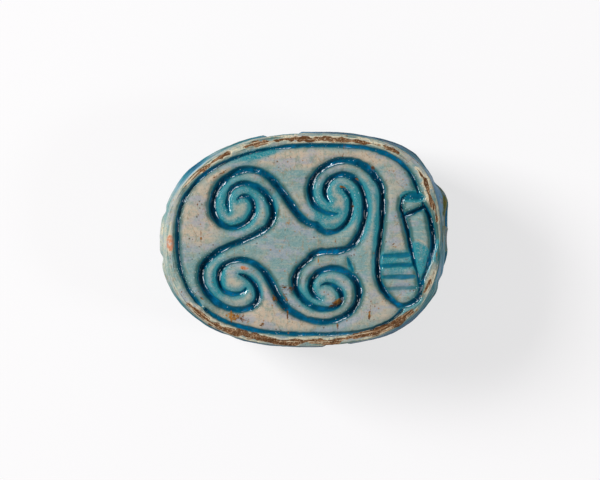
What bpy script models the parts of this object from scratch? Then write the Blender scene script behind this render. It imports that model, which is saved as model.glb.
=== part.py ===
"""A glazed steatite scarab amulet, lying on its back with the engraved base facing up.

+X points to the beetle's head, +Y to its right flank as seen from the engraved side, and +Z out of
the engraved face. The origin is in the middle of the footprint, level with the small worn flat on
the beetle's back that the amulet lies on. Lengths are in metres.
"""

import math
from dataclasses import dataclass

import bmesh
import bpy
import numpy as np

MM = 0.001

# Overall sizes
LENGTH = 19.0 * MM
WIDTH = 14.2 * MM
HEIGHT = 8.4 * MM

# Bands of the side, from the engraved face down to the back
PLATE = 1.1 * MM
PLATE_GROOVE = 0.5 * MM
PLATE_GROOVE_DEPTH = 0.12 * MM
LEGS = 2.7 * MM
WAIST = 0.55 * MM
WAIST_DEPTH = 0.3 * MM

# How far the side flares out past the rim of the engraved face: tail, head, right flank, left flank
FLARE_TAIL = 0.5 * MM
FLARE_HEAD = 0.35 * MM
FLARE_RIGHT = 0.22 * MM
FLARE_LEFT = 0.12 * MM

# The head juts out past the plate, between two hollows, and lies lower than the thorax behind it
HEAD_OVERHANG = 0.3 * MM
HEAD_DIRECTION = math.radians(3)
HEAD_SPREAD = math.radians(17)
CHEEK_DEPTH = 0.45 * MM
CHEEK_OFFSET = math.radians(27)
CHEEK_SPREAD = math.radians(9)
HEAD_LENGTH = 3.3 * MM
HEAD_STEP_RADIUS = 4.4 * MM
HEAD_THICKNESS = 1.35 * MM

# The piercing, from head to tail
BORE_DIAMETER = 1.9 * MM

# The flat worn on the back, as a share of the back's outline, and the roundness of the back
REST_SHARE = 0.2
BACK_SQUARENESS = 2.1
BACK_SPREAD = 0.5

# Carved lines of the engraved face
SPIRAL_WIDTH = 0.52 * MM
SPIRAL_DEPTH = 0.36 * MM
BORDER_WIDTH = 0.38 * MM
BORDER_DEPTH = 0.26 * MM
STRIPE_WIDTH = 0.34 * MM
STRIPE_DEPTH = 0.16 * MM
JAW_WIDTH = 0.3 * MM
JAW_DEPTH = 0.22 * MM

# Carved lines of the back and the legs
BACK_LINE_WIDTH = 0.42 * MM
BACK_LINE_DEPTH = 0.28 * MM
LEG_LINE_WIDTH = 0.46 * MM
LEG_LINE_DEPTH = 0.3 * MM

# Breaks in the edge between the legs
TOP_BREAK_LENGTH = 1.95 * MM
TOP_BREAK_DEPTH = 0.3 * MM
BOTTOM_BREAK_LENGTH = 1.2 * MM
BOTTOM_BREAK_DEPTH = 0.28 * MM

# The engraving is drawn on a sheet of this many units, stretched to the amulet's length and width
SHEET_LENGTH = 19.0
SHEET_WIDTH = 14.2

# The border line's oval on the sheet: tail, head, right flank, left flank, from its own centre
BORDER_CENTRE = (0.93, 0.63)
BORDER_REACH = (9.34, 6.68, 5.51, 6.87)

# Squareness of each outline by quarter: tail right, head right, head left, tail left
RIM_SQUARENESS = (2.1, 2.85, 2.45, 2.33)
BORDER_SQUARENESS = (2.27, 3.09, 2.97, 2.82)

# How finely curves are divided
OUTLINE_SEGMENTS = 72
BACK_RINGS = 9
BORE_SEGMENTS = 24
TURN_STEP = math.radians(18)
FLOOR_SHARE = 0.45
LIFT = 0.3 * MM
RUN_OUT = 0.35


def clear_scene():
    """Removes every object of the open scene."""
    for item in list(bpy.data.objects):
        bpy.data.objects.remove(item, do_unlink=True)


def radius(angle, reach, squareness):
    """How far an oval reaches at an angle. reach is (tail, head, right flank, left flank)."""
    tail, head, right, left = reach
    ahead = math.cos(angle) >= 0
    rightward = math.sin(angle) >= 0
    along = head if ahead else tail
    across = right if rightward else left
    quarter = {(False, True): 0, (True, True): 1, (True, False): 2, (False, False): 3}[ahead, rightward]
    power = squareness[quarter]
    shares = abs(math.cos(angle) / along) ** power + abs(math.sin(angle) / across) ** power
    return shares ** (-1 / power)


def rim_reach():
    """Reach of the engraved face's rim, inside the widest outline by the flare of the side."""
    return np.array([
        LENGTH / 2 - FLARE_TAIL,
        LENGTH / 2 - HEAD_OVERHANG - FLARE_HEAD,
        WIDTH / 2 - FLARE_RIGHT,
        WIDTH / 2 - FLARE_LEFT,
    ])


def flare():
    """What the widest outline adds to the rim."""
    return np.array([FLARE_TAIL, FLARE_HEAD, FLARE_RIGHT, FLARE_LEFT])


def head_shape(angle, room):
    """What the head adds to the outline at an angle: its bulge fills the room, its cheeks are hollow."""
    turn = (angle - HEAD_DIRECTION + math.pi) % (2 * math.pi) - math.pi
    bulge = room * math.exp(-((turn / HEAD_SPREAD) ** 4))
    cheek = math.exp(-(((abs(turn) - CHEEK_OFFSET) / CHEEK_SPREAD) ** 2))
    return bulge - CHEEK_DEPTH * cheek


def outline_radius(angle, spread, inset=0.0, head=0.0):
    """Reach of the outline at an angle: spread is 0 at the rim's and 1 at the widest outline."""
    reach = rim_reach() + spread * flare() - inset
    room = LENGTH / 2 - reach[1]
    return radius(angle, reach, RIM_SQUARENESS) + head * head_shape(angle, room)


def outline_point(angle, depth, spread, inset=0.0, head=0.0, shrink=1.0):
    """A point of the surface at a depth below the engraved face."""
    out = outline_radius(angle, spread, inset, head) * shrink
    return (out * math.cos(angle), out * math.sin(angle), HEIGHT - depth)


def side_levels():
    """(depth, spread, inset, head) of each ring down the side, from the rim to the edge of the back."""
    legs = PLATE + PLATE_GROOVE
    waist = legs + LEGS
    return [
        (0.0, 0.0, 0.0, 0.0),
        (0.14 * PLATE, 0.3, 0.0, 0.0),
        (0.5 * PLATE, 0.5, 0.0, 0.0),
        (PLATE, 0.58, 0.0, 0.0),
        (PLATE + 0.5 * PLATE_GROOVE, 0.45, PLATE_GROOVE_DEPTH, 0.0),
        (legs, 0.75, 0.0, 0.0),
        (legs + 0.15 * LEGS, 1.0, 0.0, 0.1),
        (legs + 0.5 * LEGS, 1.0, 0.0, 0.25),
        (legs + 0.85 * LEGS, 0.85, 0.0, 0.4),
        (waist, 0.55, 0.0, 0.55),
        (waist + 0.5 * WAIST, 0.4, WAIST_DEPTH, 0.75),
        (waist + WAIST, BACK_SPREAD, 0.0, 1.0),
    ]


def back_depth(share):
    """Depth below the engraved face of the domed back, at a share of its outline."""
    edge = PLATE + PLATE_GROOVE + LEGS + WAIST
    dome = (1 - max(share, REST_SHARE) ** BACK_SQUARENESS) ** (1 / BACK_SQUARENESS)
    crown = (1 - REST_SHARE ** BACK_SQUARENESS) ** (1 / BACK_SQUARENESS)
    return edge + (HEIGHT - edge) * dome / crown


def back_shares():
    """Shares of the back's outline, closer together at the steep edge."""
    steps = np.linspace(0, 1, BACK_RINGS + 1)[1:]
    return 1 - (1 - REST_SHARE) * steps ** 1.8


def back_surface(x, y):
    """The point of the back at x, y."""
    full = outline_radius(math.atan2(y, x), BACK_SPREAD)
    return np.array([x, y, HEIGHT - back_depth(min(math.hypot(x, y) / full, 1.0))])


def loft(name, rings):
    """A closed mesh object through equal rings of points, with a flat cap at each end."""
    shape = bmesh.new()
    rows = [[shape.verts.new(point) for point in ring] for ring in rings]
    for lower, upper in zip(rows, rows[1:]):
        for i, vert in enumerate(lower):
            after = (i + 1) % len(lower)
            shape.faces.new((vert, lower[after], upper[after], upper[i]))
    shape.faces.new(list(reversed(rows[0])))
    shape.faces.new(rows[-1])
    bmesh.ops.recalc_face_normals(shape, faces=shape.faces)
    mesh = bpy.data.meshes.new(name)
    shape.to_mesh(mesh)
    shape.free()
    made = bpy.data.objects.new(name, mesh)
    bpy.context.scene.collection.objects.link(made)
    return made


def stone_body():
    """The uncarved stone: a plate, a band of legs and a domed back, ring by ring."""
    angles = [2 * math.pi * i / OUTLINE_SEGMENTS for i in range(OUTLINE_SEGMENTS)]
    rings = []
    for depth, spread, inset, head in side_levels():
        rings.append([outline_point(angle, depth, spread, inset, head) for angle in angles])
    for share in back_shares():
        depth = back_depth(share)
        head = share ** 6
        rings.append([outline_point(angle, depth, BACK_SPREAD, 0.0, head, share) for angle in angles])
    return loft("scarab", rings)


@dataclass(frozen=True)
class Volute:
    """A squashed spiral on the sheet: it turns from one angle to another as its radius changes."""

    centre: tuple
    radii: tuple
    turn: tuple
    growth: float
    squash: float
    tilt: float

    def points(self):
        """Points along the spiral, in sheet units."""
        first, last = self.turn
        count = max(4, round(math.radians(abs(last - first)) / TURN_STEP))
        share = np.linspace(0, 1, count + 1)
        angle = np.radians(first + (last - first) * share)
        size = self.radii[0] + (self.radii[1] - self.radii[0]) * share ** self.growth
        flat = np.stack([size * np.cos(angle), size * np.sin(angle)], axis=1)
        lean = math.radians(self.tilt)
        axis = np.array([math.cos(lean), math.sin(lean)])
        stretched = flat + np.outer(flat @ axis, axis) * (self.squash - 1)
        return stretched + np.array(self.centre)


def hermite(start, start_slope, end, end_slope, count):
    """Points strictly between start and end on a cubic with the given slopes."""
    t = np.linspace(0, 1, count + 2)[1:-1, None]
    first = (2 * t ** 3 - 3 * t ** 2 + 1) * start + (t ** 3 - 2 * t ** 2 + t) * start_slope
    return first + (3 * t ** 2 - 2 * t ** 3) * end + (t ** 3 - t ** 2) * end_slope


def joined(first, second, count=5):
    """Two lines made one by a curve that leaves the first and meets the second along their ways."""
    gap = np.linalg.norm(second[0] - first[-1])
    leaving = first[-1] - first[-2]
    meeting = second[1] - second[0]
    leaving = leaving / np.linalg.norm(leaving) * gap
    meeting = meeting / np.linalg.norm(meeting) * gap
    return np.concatenate([first, hermite(first[-1], leaving, second[0], meeting, count), second])


def smooth_through(knots, count=3):
    """A smooth line through a few knots, with this many points added between each pair."""
    knots = np.array(knots, float)
    slopes = np.gradient(knots, axis=0)
    pieces = [knots[:1]]
    for i in range(len(knots) - 1):
        pieces.append(hermite(knots[i], slopes[i], knots[i + 1], slopes[i + 1], count))
        pieces.append(knots[i + 1:i + 2])
    return np.concatenate(pieces)


def border_arc(first, last):
    """The border line between two directions in degrees, in sheet units."""
    count = max(4, round(math.radians(abs(last - first)) / (TURN_STEP / 2.6)))
    angles = np.radians(np.linspace(first, last, count + 1))
    size = np.array([radius(angle, BORDER_REACH, BORDER_SQUARENESS) for angle in angles])
    return np.stack([size * np.cos(angles), size * np.sin(angles)], axis=1) + np.array(BORDER_CENTRE)


def spiral_lines():
    """The four linked scrolls and the line that runs on from them round the cobra."""
    cobra = smooth_through([
        (5.08, 3.21),
        (5.12, 1.9),
        (4.95, 0.1),
        (4.78, -1.7),
        (5.05, -3.1),
        (6.2, -4.3),
        (7.35, -3.9),
        (7.75, -2.6),
        (8.4, -0.5),
        (8.22, 1.3),
        (7.71, 2.42),
    ])
    return {
        "right_scrolls": joined(
            Volute((-4.24, 2.21), (0.49, 2.63), (112, -306), 1.08, 0.85, -35).points(),
            Volute((1.95, 2.08), (1.96, 1.36), (-146, 71), 0.41, 0.77, -15).points(),
        ),
        "tail_scrolls": joined(
            Volute((-3.40, 2.09), (1.99, 1.45), (-162, -421), 0.77, 0.75, 41).points(),
            Volute((-4.50, -3.11), (2.67, 1.20), (127, 431), 0.90, 0.72, 61).points(),
        ),
        "left_scrolls": joined(
            Volute((-4.39, -2.77), (0.74, 1.89), (-43, -329), 1.00, 0.86, 85).points(),
            Volute((1.59, -3.26), (2.55, 0.81), (-147, 236), 0.74, 1.16, 0).points(),
        ),
        "head_scrolls": joined(
            Volute((1.83, 2.18), (0.45, 3.19), (-225, -409), 0.44, 0.76, -11).points(),
            Volute((1.39, -3.43), (2.16, 0.41), (106, 480), 0.60, 1.34, -22).points(),
        ),
        "cobra_scroll": joined(
            Volute((2.28, 3.07), (1.55, 2.57), (-92, -335), 1.00, 0.89, 105).points(),
            cobra,
        ),
        "cobra_neck": smooth_through([(6.3, 2.5), (6.5, 1.4), (6.99, -0.74), (7.5, -3.0)]),
    }


def place_on_sheet(points):
    """Sheet units to metres on the engraved face."""
    x = points[:, 0] * LENGTH / SHEET_LENGTH
    y = points[:, 1] * WIDTH / SHEET_WIDTH
    return np.stack([x, y, np.full(len(points), HEIGHT)], axis=1)


def gouge(name, path, outward, width, depth, pointed=True):
    """A cutter that follows a path over the surface, flat-floored, and runs out at pointed ends."""
    path = np.asarray(path, float)
    outward = np.asarray(outward, float)
    along = np.gradient(path, axis=0)
    aside = np.cross(outward, along)
    aside /= np.linalg.norm(aside, axis=1)[:, None]
    steps = np.linalg.norm(np.diff(path, axis=0), axis=1)
    travelled = np.concatenate([[0], np.cumsum(steps)])
    to_end = np.minimum(travelled, travelled[-1] - travelled)
    fullness = np.clip(RUN_OUT + to_end / width, RUN_OUT, 1) if pointed else np.ones(len(path))
    half_top = width / 2 * (1 + (1 - FLOOR_SHARE) * LIFT / depth)
    half_floor = width / 2 * FLOOR_SHARE
    rings = []
    for centre, up, side, full in zip(path, outward, aside, fullness):
        high = centre + up * LIFT
        low = centre - up * depth * full
        rings.append([
            high - side * half_top * full,
            low - side * half_floor * full,
            low + side * half_floor * full,
            high + side * half_top * full,
        ])
    return as_cutter(loft(f"cutter_{name}", rings))


def as_cutter(made):
    """Marks an object as a tool that cuts and isn't part of the amulet."""
    made.hide_render = True
    made.display_type = "WIRE"
    return made


def face_line(name, points, width, depth):
    """A line carved into the engraved face, from its points in sheet units."""
    path = place_on_sheet(points)
    return gouge(name, path, np.tile((0.0, 0.0, 1.0), (len(path), 1)), width, depth)


def face_cutters():
    """Every line of the engraved face."""
    cutters = []
    for name, points in spiral_lines().items():
        cutters.append(face_line(name, points, SPIRAL_WIDTH, SPIRAL_DEPTH))
    cutters.append(face_line("border_right", border_arc(20, 213), BORDER_WIDTH, BORDER_DEPTH))
    cutters.append(face_line("border_left", border_arc(215, 317), BORDER_WIDTH, BORDER_DEPTH))
    jaw = smooth_through([(6.4, 1.63), (7.05, 1.78), (7.65, 2.2)])
    cutters.append(face_line("cobra_jaw", jaw, JAW_WIDTH, JAW_DEPTH))
    brow = smooth_through([(6.35, 2.55), (6.95, 2.78), (7.55, 2.8)])
    cutters.append(face_line("cobra_brow", brow, SPIRAL_WIDTH, SPIRAL_DEPTH))
    stripes = [(-1.03, 5.0, 6.95), (-1.69, 4.95, 7.1), (-2.42, 5.05, 7.25), (-3.2, 5.3, 7.35)]
    for number, (y, start, end) in enumerate(stripes, 1):
        stripe = np.stack([np.linspace(start, end, 4), np.full(4, y)], axis=1)
        cutters.append(face_line(f"cobra_stripe_{number}", stripe, STRIPE_WIDTH, STRIPE_DEPTH))
    return cutters


def back_line(name, knots):
    """A line carved into the domed back, through knots given as shares of the half length and width."""
    flat = smooth_through(knots) * (LENGTH / 2, WIDTH / 2)
    path = np.array([back_surface(x, y) for x, y in flat])
    step = 0.05 * MM
    outward = []
    for x, y in flat:
        slope_x = (back_surface(x + step, y) - back_surface(x - step, y))[2] / (2 * step)
        slope_y = (back_surface(x, y + step) - back_surface(x, y - step))[2] / (2 * step)
        normal = np.array([slope_x, slope_y, -1.0])
        outward.append(normal / np.linalg.norm(normal))
    return gouge(name, path, outward, BACK_LINE_WIDTH, BACK_LINE_DEPTH)


def back_cutters():
    """The seam of the wing cases, the line behind the thorax and the lines beside the head."""
    cutters = [
        back_line("wing_seam", [(-0.88, 0), (-0.6, 0), (-0.25, 0), (0.17, 0)]),
        back_line("thorax_line", [(0.3, -0.84), (0.2, -0.45), (0.17, 0), (0.2, 0.45), (0.3, 0.84)]),
    ]
    for name, side in (("right", 1), ("left", -1)):
        shoulder = [(0.16, 0.6 * side), (0.04, 0.72 * side), (-0.02, 0.86 * side)]
        cutters.append(back_line(f"shoulder_{name}", shoulder))
    return cutters


def head_cutter():
    """What is cut away in front of the thorax, leaving the head as a lower step."""
    edge = PLATE + PLATE_GROOVE + LEGS + WAIST
    top = HEIGHT - edge - HEAD_THICKNESS
    centre = LENGTH / 2 - HEAD_LENGTH + HEAD_STEP_RADIUS
    angles = [2 * math.pi * i / OUTLINE_SEGMENTS for i in range(OUTLINE_SEGMENTS)]
    rings = []
    for z, size in ((-LIFT * 4, HEAD_STEP_RADIUS * 1.1), (top, HEAD_STEP_RADIUS)):
        rings.append([(centre + size * math.cos(a), size * math.sin(a), z) for a in angles])
    return as_cutter(loft("cutter_head_step", rings))


def side_point(angle, share):
    """A point of the leg band: share is 0 at its upper edge and 1 at its lower edge."""
    depth = PLATE + PLATE_GROOVE + LEGS * share
    levels = side_levels()
    depths = [level[0] for level in levels]
    spread, inset, head = (np.interp(depth, depths, [level[k] for level in levels]) for k in (1, 2, 3))
    return outline_point(angle, depth, spread, inset, head)


def leg_line(name, start, end):
    """A line carved across the leg band, between (direction in degrees, share of the band) ends."""
    shares = np.linspace(0, 1, 7)[:, None]
    stops = np.array(start) * (1 - shares) + np.array(end) * shares
    path = np.array([side_point(math.radians(turn), share) for turn, share in stops])
    outward = []
    for turn, _ in stops:
        ahead = np.array(side_point(math.radians(turn + 1), 0.5))
        behind = np.array(side_point(math.radians(turn - 1), 0.5))
        along = (ahead - behind)[:2]
        outward.append(np.array([along[1], -along[0], 0.0]) / np.linalg.norm(along))
    return gouge(name, path, outward, LEG_LINE_WIDTH, LEG_LINE_DEPTH)


def leg_cutters():
    """The lines between the front, middle and hind legs of both flanks."""
    lines = {
        "front_leg": ((26, 0.9), (44, 0.12)),
        "front_thigh": ((38, 0.95), (62, 0.2)),
        "middle_leg": ((74, 0.9), (104, 0.15)),
        "hind_leg": ((112, 0.85), (146, 0.3)),
        "hind_foot": ((128, 0.95), (158, 0.62)),
    }
    cutters = []
    for name, (start, end) in lines.items():
        for flank, side in (("right", 1), ("left", -1)):
            cutters.append(leg_line(f"{name}_{flank}", (start[0] * side, start[1]), (end[0] * side, end[1])))
    return cutters


def bore_cutter():
    """The hole from head to tail for a thread or a ring's wire."""
    angles = [2 * math.pi * i / BORE_SEGMENTS for i in range(BORE_SEGMENTS)]
    size = BORE_DIAMETER / 2
    rings = []
    for x in (-LENGTH, LENGTH):
        rings.append([(x, size * math.cos(a), HEIGHT / 2 + size * math.sin(a)) for a in angles])
    return as_cutter(loft("cutter_bore", rings))


def break_cutter(name, middle, length, depth, side, lean):
    """A break in the edge: everything past a slanting line along the flank goes."""
    edge = side * (WIDTH / 2 - depth)
    far = side * (WIDTH / 2 + depth)
    first, last = middle - length / 2, middle + length / 2
    slant = side * lean * depth
    rings = []
    for z in (HEIGHT - PLATE - PLATE_GROOVE - LEGS, HEIGHT + LIFT):
        rings.append([
            (first, edge - slant, z),
            (last, edge + slant, z),
            (last + 3 * depth, far, z),
            (first - 3 * depth, far, z),
        ])
    return as_cutter(loft(f"cutter_{name}", rings))


def glaze_material():
    """Blue-green glaze over pale stone, as one plain finish."""
    material = bpy.data.materials.new("blue_green_glaze")
    material.use_nodes = True
    shader = material.node_tree.nodes["Principled BSDF"]
    shader.inputs["Base Color"].default_value = (0.21, 0.29, 0.27, 1)
    shader.inputs["Roughness"].default_value = 0.3
    shader.inputs["Metallic"].default_value = 0.0
    return material


def build():
    """Makes the amulet: the stone, less every carved line, the head's step, the breaks and the bore."""
    clear_scene()
    scarab = stone_body()
    cutters = [head_cutter()] + back_cutters() + leg_cutters()
    cutters += [
        break_cutter("top_break", -0.078 * LENGTH, TOP_BREAK_LENGTH, TOP_BREAK_DEPTH, 1, 0.2),
        break_cutter("bottom_break", 0.111 * LENGTH, BOTTOM_BREAK_LENGTH, BOTTOM_BREAK_DEPTH, -1, -0.2),
    ]
    cutters += face_cutters() + [bore_cutter()]
    for cutter in cutters:
        cut = scarab.modifiers.new(cutter.name, "BOOLEAN")
        cut.operation = "DIFFERENCE"
        cut.object = cutter
    scarab.data.materials.append(glaze_material())
    scarab.data.shade_smooth()
    scarab.data.set_sharp_from_angle(angle=math.radians(35))


build()
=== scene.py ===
"""Looks of a glazed steatite scarab amulet that lies on its back, engraved base up.

One fine mesh keeps the form of the solid and adds what the hand left in it: gouged lines with soft
shoulders, a rubbed rim, flakes, pits and a wavy edge. What varies over the surface, such as how deep
the glaze lies or where it is rubbed away, is worked out point by point and kept as named attributes,
which the glaze's nodes read. Lengths are in metres unless a name says sheet, whose unit is a
nineteenth of the amulet's length.
"""

import logging
import math
from dataclasses import dataclass, field
from enum import Enum
from typing import Any

import bmesh
import bpy
import numpy as np
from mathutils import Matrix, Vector
from mathutils.kdtree import KDTree

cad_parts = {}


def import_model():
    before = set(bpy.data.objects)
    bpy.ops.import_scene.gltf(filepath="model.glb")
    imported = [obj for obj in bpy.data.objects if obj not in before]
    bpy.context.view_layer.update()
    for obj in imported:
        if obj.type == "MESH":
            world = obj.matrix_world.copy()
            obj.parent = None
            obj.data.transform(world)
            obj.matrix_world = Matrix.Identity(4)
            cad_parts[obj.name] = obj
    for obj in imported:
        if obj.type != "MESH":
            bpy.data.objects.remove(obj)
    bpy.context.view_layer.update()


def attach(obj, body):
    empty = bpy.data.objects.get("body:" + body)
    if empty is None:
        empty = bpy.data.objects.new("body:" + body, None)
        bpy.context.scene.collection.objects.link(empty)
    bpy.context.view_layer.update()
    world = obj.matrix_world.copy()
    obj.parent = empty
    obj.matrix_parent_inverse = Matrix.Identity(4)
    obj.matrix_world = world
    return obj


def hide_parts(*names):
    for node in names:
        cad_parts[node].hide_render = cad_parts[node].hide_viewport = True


MM = 0.001
FAR = 9.0  # the way across a line, where no line is near
COURSE_SPAN = 4.0 * MM  # how far the rim's layers go for one unit of the attribute that counts them
LOG = logging.getLogger("scarab")


class Where(Enum):
    """The parts of the fine mesh, which are carved and coloured by different rules."""

    FACE = 0
    SIDE = 1
    BACK = 2
    BORE = 3


class Tint(Enum):
    """What a stretch of the flank differs in; each value is the attribute that it raises."""

    POOLED = "pool"
    TURQUOISE = "teal"
    PALE = "pale"
    OLIVE = "olive"
    RUBBED = "worn"
    SKY = "sky"
    DUSK = "dusk"


def smooth_step(low: float, high: float, value: np.ndarray) -> np.ndarray:
    """Rises smoothly from 0 at low to 1 at high, or falls if low is above high."""
    share = np.clip((value - low) / (high - low), 0.0, 1.0)
    return share * share * (3.0 - 2.0 * share)


def turned(offset: np.ndarray, degrees: float) -> np.ndarray:
    """Turns flat offsets so that the direction at this many degrees lies along the first axis.

    Args:
        offset: Offsets, one row each.
        degrees: The direction.

    Returns:
        The turned offsets.
    """
    lean = math.radians(degrees)
    along = offset[:, 0] * math.cos(lean) + offset[:, 1] * math.sin(lean)
    across = offset[:, 1] * math.cos(lean) - offset[:, 0] * math.sin(lean)
    return np.stack([along, across], axis=1)


@dataclass(frozen=True)
class Grain:
    """Seeded lattice noise for the shape, between -1 and 1."""

    seed: int
    size: int = 32

    def __call__(self, points: np.ndarray, scale: float) -> np.ndarray:
        """Reads the noise.

        Args:
            points: Places in metres, one row each.
            scale: Size of one lump of the noise in metres.

        Returns:
            One number for each place.
        """
        lattice = np.random.default_rng(self.seed).uniform(-1.0, 1.0, (self.size,) * 3)
        placed = points / scale + self.seed * 7.31
        corner = np.floor(placed).astype(int)
        share = placed - corner
        share = share * share * (3.0 - 2.0 * share)
        total = np.zeros(len(points))
        for x in (0, 1):
            for y in (0, 1):
                for z in (0, 1):
                    cell = (corner + (x, y, z)) % self.size
                    weight = np.abs(1 - x - share[:, 0]) * np.abs(1 - y - share[:, 1]) * np.abs(1 - z - share[:, 2])
                    total += weight * lattice[cell[:, 0], cell[:, 1], cell[:, 2]]
        return total


@dataclass(frozen=True)
class Oval:
    """An outline with its own reach and squareness in each quarter."""

    tail: float
    head: float
    right: float
    left: float
    squareness: tuple[float, float, float, float]

    def radius(self, angle: np.ndarray) -> np.ndarray:
        """How far the outline reaches at each angle.

        Args:
            angle: Directions from the middle, in radians.

        Returns:
            The reach at each angle.
        """
        ahead = np.cos(angle) >= 0
        rightward = np.sin(angle) >= 0
        along = np.where(ahead, self.head, self.tail)
        across = np.where(rightward, self.right, self.left)
        tail_right, head_right, head_left, tail_left = self.squareness
        power = np.where(rightward, np.where(ahead, head_right, tail_right), np.where(ahead, head_left, tail_left))
        shares = np.abs(np.cos(angle) / along) ** power + np.abs(np.sin(angle) / across) ** power
        return shares ** (-1.0 / power)


@dataclass(frozen=True)
class Volute:
    """A squashed spiral on the sheet: it turns from one angle to another as its radius changes."""

    centre: tuple[float, float]
    radii: tuple[float, float]
    turn: tuple[float, float]
    growth: float
    squash: float
    tilt: float

    def points(self, count: int = 90) -> np.ndarray:
        """Points along the spiral, in sheet units.

        Args:
            count: How many points.

        Returns:
            The points, one row each.
        """
        share = np.linspace(0, 1, count)
        angle = np.radians(self.turn[0] + (self.turn[1] - self.turn[0]) * share)
        size = self.radii[0] + (self.radii[1] - self.radii[0]) * share ** self.growth
        flat = np.stack([size * np.cos(angle), size * np.sin(angle)], axis=1)
        lean = math.radians(self.tilt)
        axis = np.array([math.cos(lean), math.sin(lean)])
        return flat + np.outer(flat @ axis, axis) * (self.squash - 1) + np.array(self.centre)


def strongest(marks: list[Any], *places: np.ndarray) -> np.ndarray:
    """The most that any of the marks covers at each place."""
    return np.max([mark.cover(*places) for mark in marks], axis=0)


def hermite(start: np.ndarray, start_slope: np.ndarray, end: np.ndarray, end_slope: np.ndarray,
            count: int) -> np.ndarray:
    """Points strictly between start and end on a cubic with the given slopes.

    Args:
        start: Where the curve starts.
        start_slope: Its slope there.
        end: Where it ends.
        end_slope: Its slope there.
        count: How many points.

    Returns:
        The points, one row each.
    """
    t = np.linspace(0, 1, count + 2)[1:-1, None]
    first = (2 * t ** 3 - 3 * t ** 2 + 1) * start + (t ** 3 - 2 * t ** 2 + t) * start_slope
    return first + (3 * t ** 2 - 2 * t ** 3) * end + (t ** 3 - t ** 2) * end_slope


def joined(first: np.ndarray, second: np.ndarray) -> np.ndarray:
    """Two lines made one by a curve that leaves the first and meets the second along their ways.

    Args:
        first: Points of the first line.
        second: Points of the second line.

    Returns:
        The points of the whole.
    """
    gap = np.linalg.norm(second[0] - first[-1])
    leaving = (first[-1] - first[-2]) / np.linalg.norm(first[-1] - first[-2]) * gap
    meeting = (second[1] - second[0]) / np.linalg.norm(second[1] - second[0]) * gap
    return np.concatenate([first, hermite(first[-1], leaving, second[0], meeting, 40), second])


def leaned(line: np.ndarray, share: float, spread: float, offset: tuple[float, float]) -> np.ndarray:
    """A line that leans aside by an offset about one share of its points."""
    place = np.linspace(0, 1, len(line))
    return line + np.exp(-(((place - share) / spread) ** 2))[:, None] * np.array(offset)


def smooth_through(knots: list[tuple[float, ...]], count: int = 16) -> np.ndarray:
    """A smooth line through a few knots, with this many points added between each pair.

    Args:
        knots: The places that it passes.
        count: How many points to add.

    Returns:
        The line's points, one row each.
    """
    placed = np.array(knots, float)
    slopes = np.gradient(placed, axis=0)
    pieces = [placed[:1]]
    for i in range(len(placed) - 1):
        pieces.append(hermite(placed[i], slopes[i], placed[i + 1], slopes[i + 1], count))
        pieces.append(placed[i + 1:i + 2])
    return np.concatenate(pieces)


@dataclass
class Traces:
    """What carved lines do at a set of places.

    The cut is in metres. The rest are shares: how thick glaze lies in the line and how near its soft
    edge is, both raised in strokes that run up and down as painted shade, how near it is at all, how
    glossy it is, the way from its middle to its edge, and the same towards its lower right bank, where
    the painted glint goes.
    """

    cut: np.ndarray
    pool: np.ndarray
    soft: np.ndarray
    beside: np.ndarray
    gloss: np.ndarray
    across: np.ndarray
    bank: np.ndarray

    @classmethod
    def blank(cls, count: int) -> "Traces":
        """Places that no line reaches."""
        return cls(*(np.zeros(count) for _ in range(5)), np.full(count, FAR), np.zeros(count))

    def add(self, chosen: np.ndarray, line: "Traces") -> None:
        """Adds one line's traces at the chosen places.

        Args:
            chosen: Numbers of the places.
            line: The line's traces there.
        """
        for kept, new in ((self.cut, line.cut), (self.pool, line.pool), (self.beside, line.beside),
                          (self.gloss, line.gloss)):
            kept[chosen] = np.maximum(kept[chosen], new)
        self.soft[chosen] = 1 - (1 - self.soft[chosen]) * (1 - np.clip(line.soft, 0, 1))
        self.bank[chosen] = np.where(line.across < self.across[chosen], line.bank, self.bank[chosen])
        self.across[chosen] = np.minimum(self.across[chosen], line.across)


@dataclass
class Trail:
    """A path sampled finely, for finding the place on it that is nearest to a point."""

    samples: np.ndarray
    travelled: np.ndarray
    upright: np.ndarray
    tree: KDTree

    @classmethod
    def along(cls, path: np.ndarray, step: float = 0.03 * MM) -> "Trail":
        """Samples a path at even steps.

        Args:
            path: The path's points.
            step: How far apart the samples lie.

        Returns:
            The trail.
        """
        steps = np.linalg.norm(np.diff(path, axis=0), axis=1)
        knots = np.concatenate([[0.0], np.cumsum(steps)])
        travelled = np.linspace(0.0, knots[-1], int(knots[-1] / step) + 2)
        samples = np.stack([np.interp(travelled, knots, path[:, k]) for k in range(3)], axis=1)
        # How nearly each step runs up and down the sheet, across the light from the upper left; the lines use it to
        # paint shade as darker glaze in those strokes.
        rising = np.append(np.diff(path[:, 1]) / steps, 0.0) ** 2
        tree = KDTree(len(samples))
        for number, place in enumerate(samples):
            tree.insert(place, number)
        tree.balance()
        return cls(samples, travelled, np.interp(travelled, knots, rising), tree)

    def near(self, points: np.ndarray, reach: float) -> np.ndarray:
        """Numbers of the points that lie within reach of the path's box."""
        low, high = self.samples.min(axis=0) - reach, self.samples.max(axis=0) + reach
        return np.nonzero(((points > low) & (points < high)).all(axis=1))[0]

    def nearest(self, points: np.ndarray) -> tuple[np.ndarray, np.ndarray]:
        """Number of the nearest sample of each point, and its distance."""
        found = [self.tree.find(point) for point in points]
        return np.array([item[1] for item in found]), np.array([item[2] for item in found])


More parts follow.
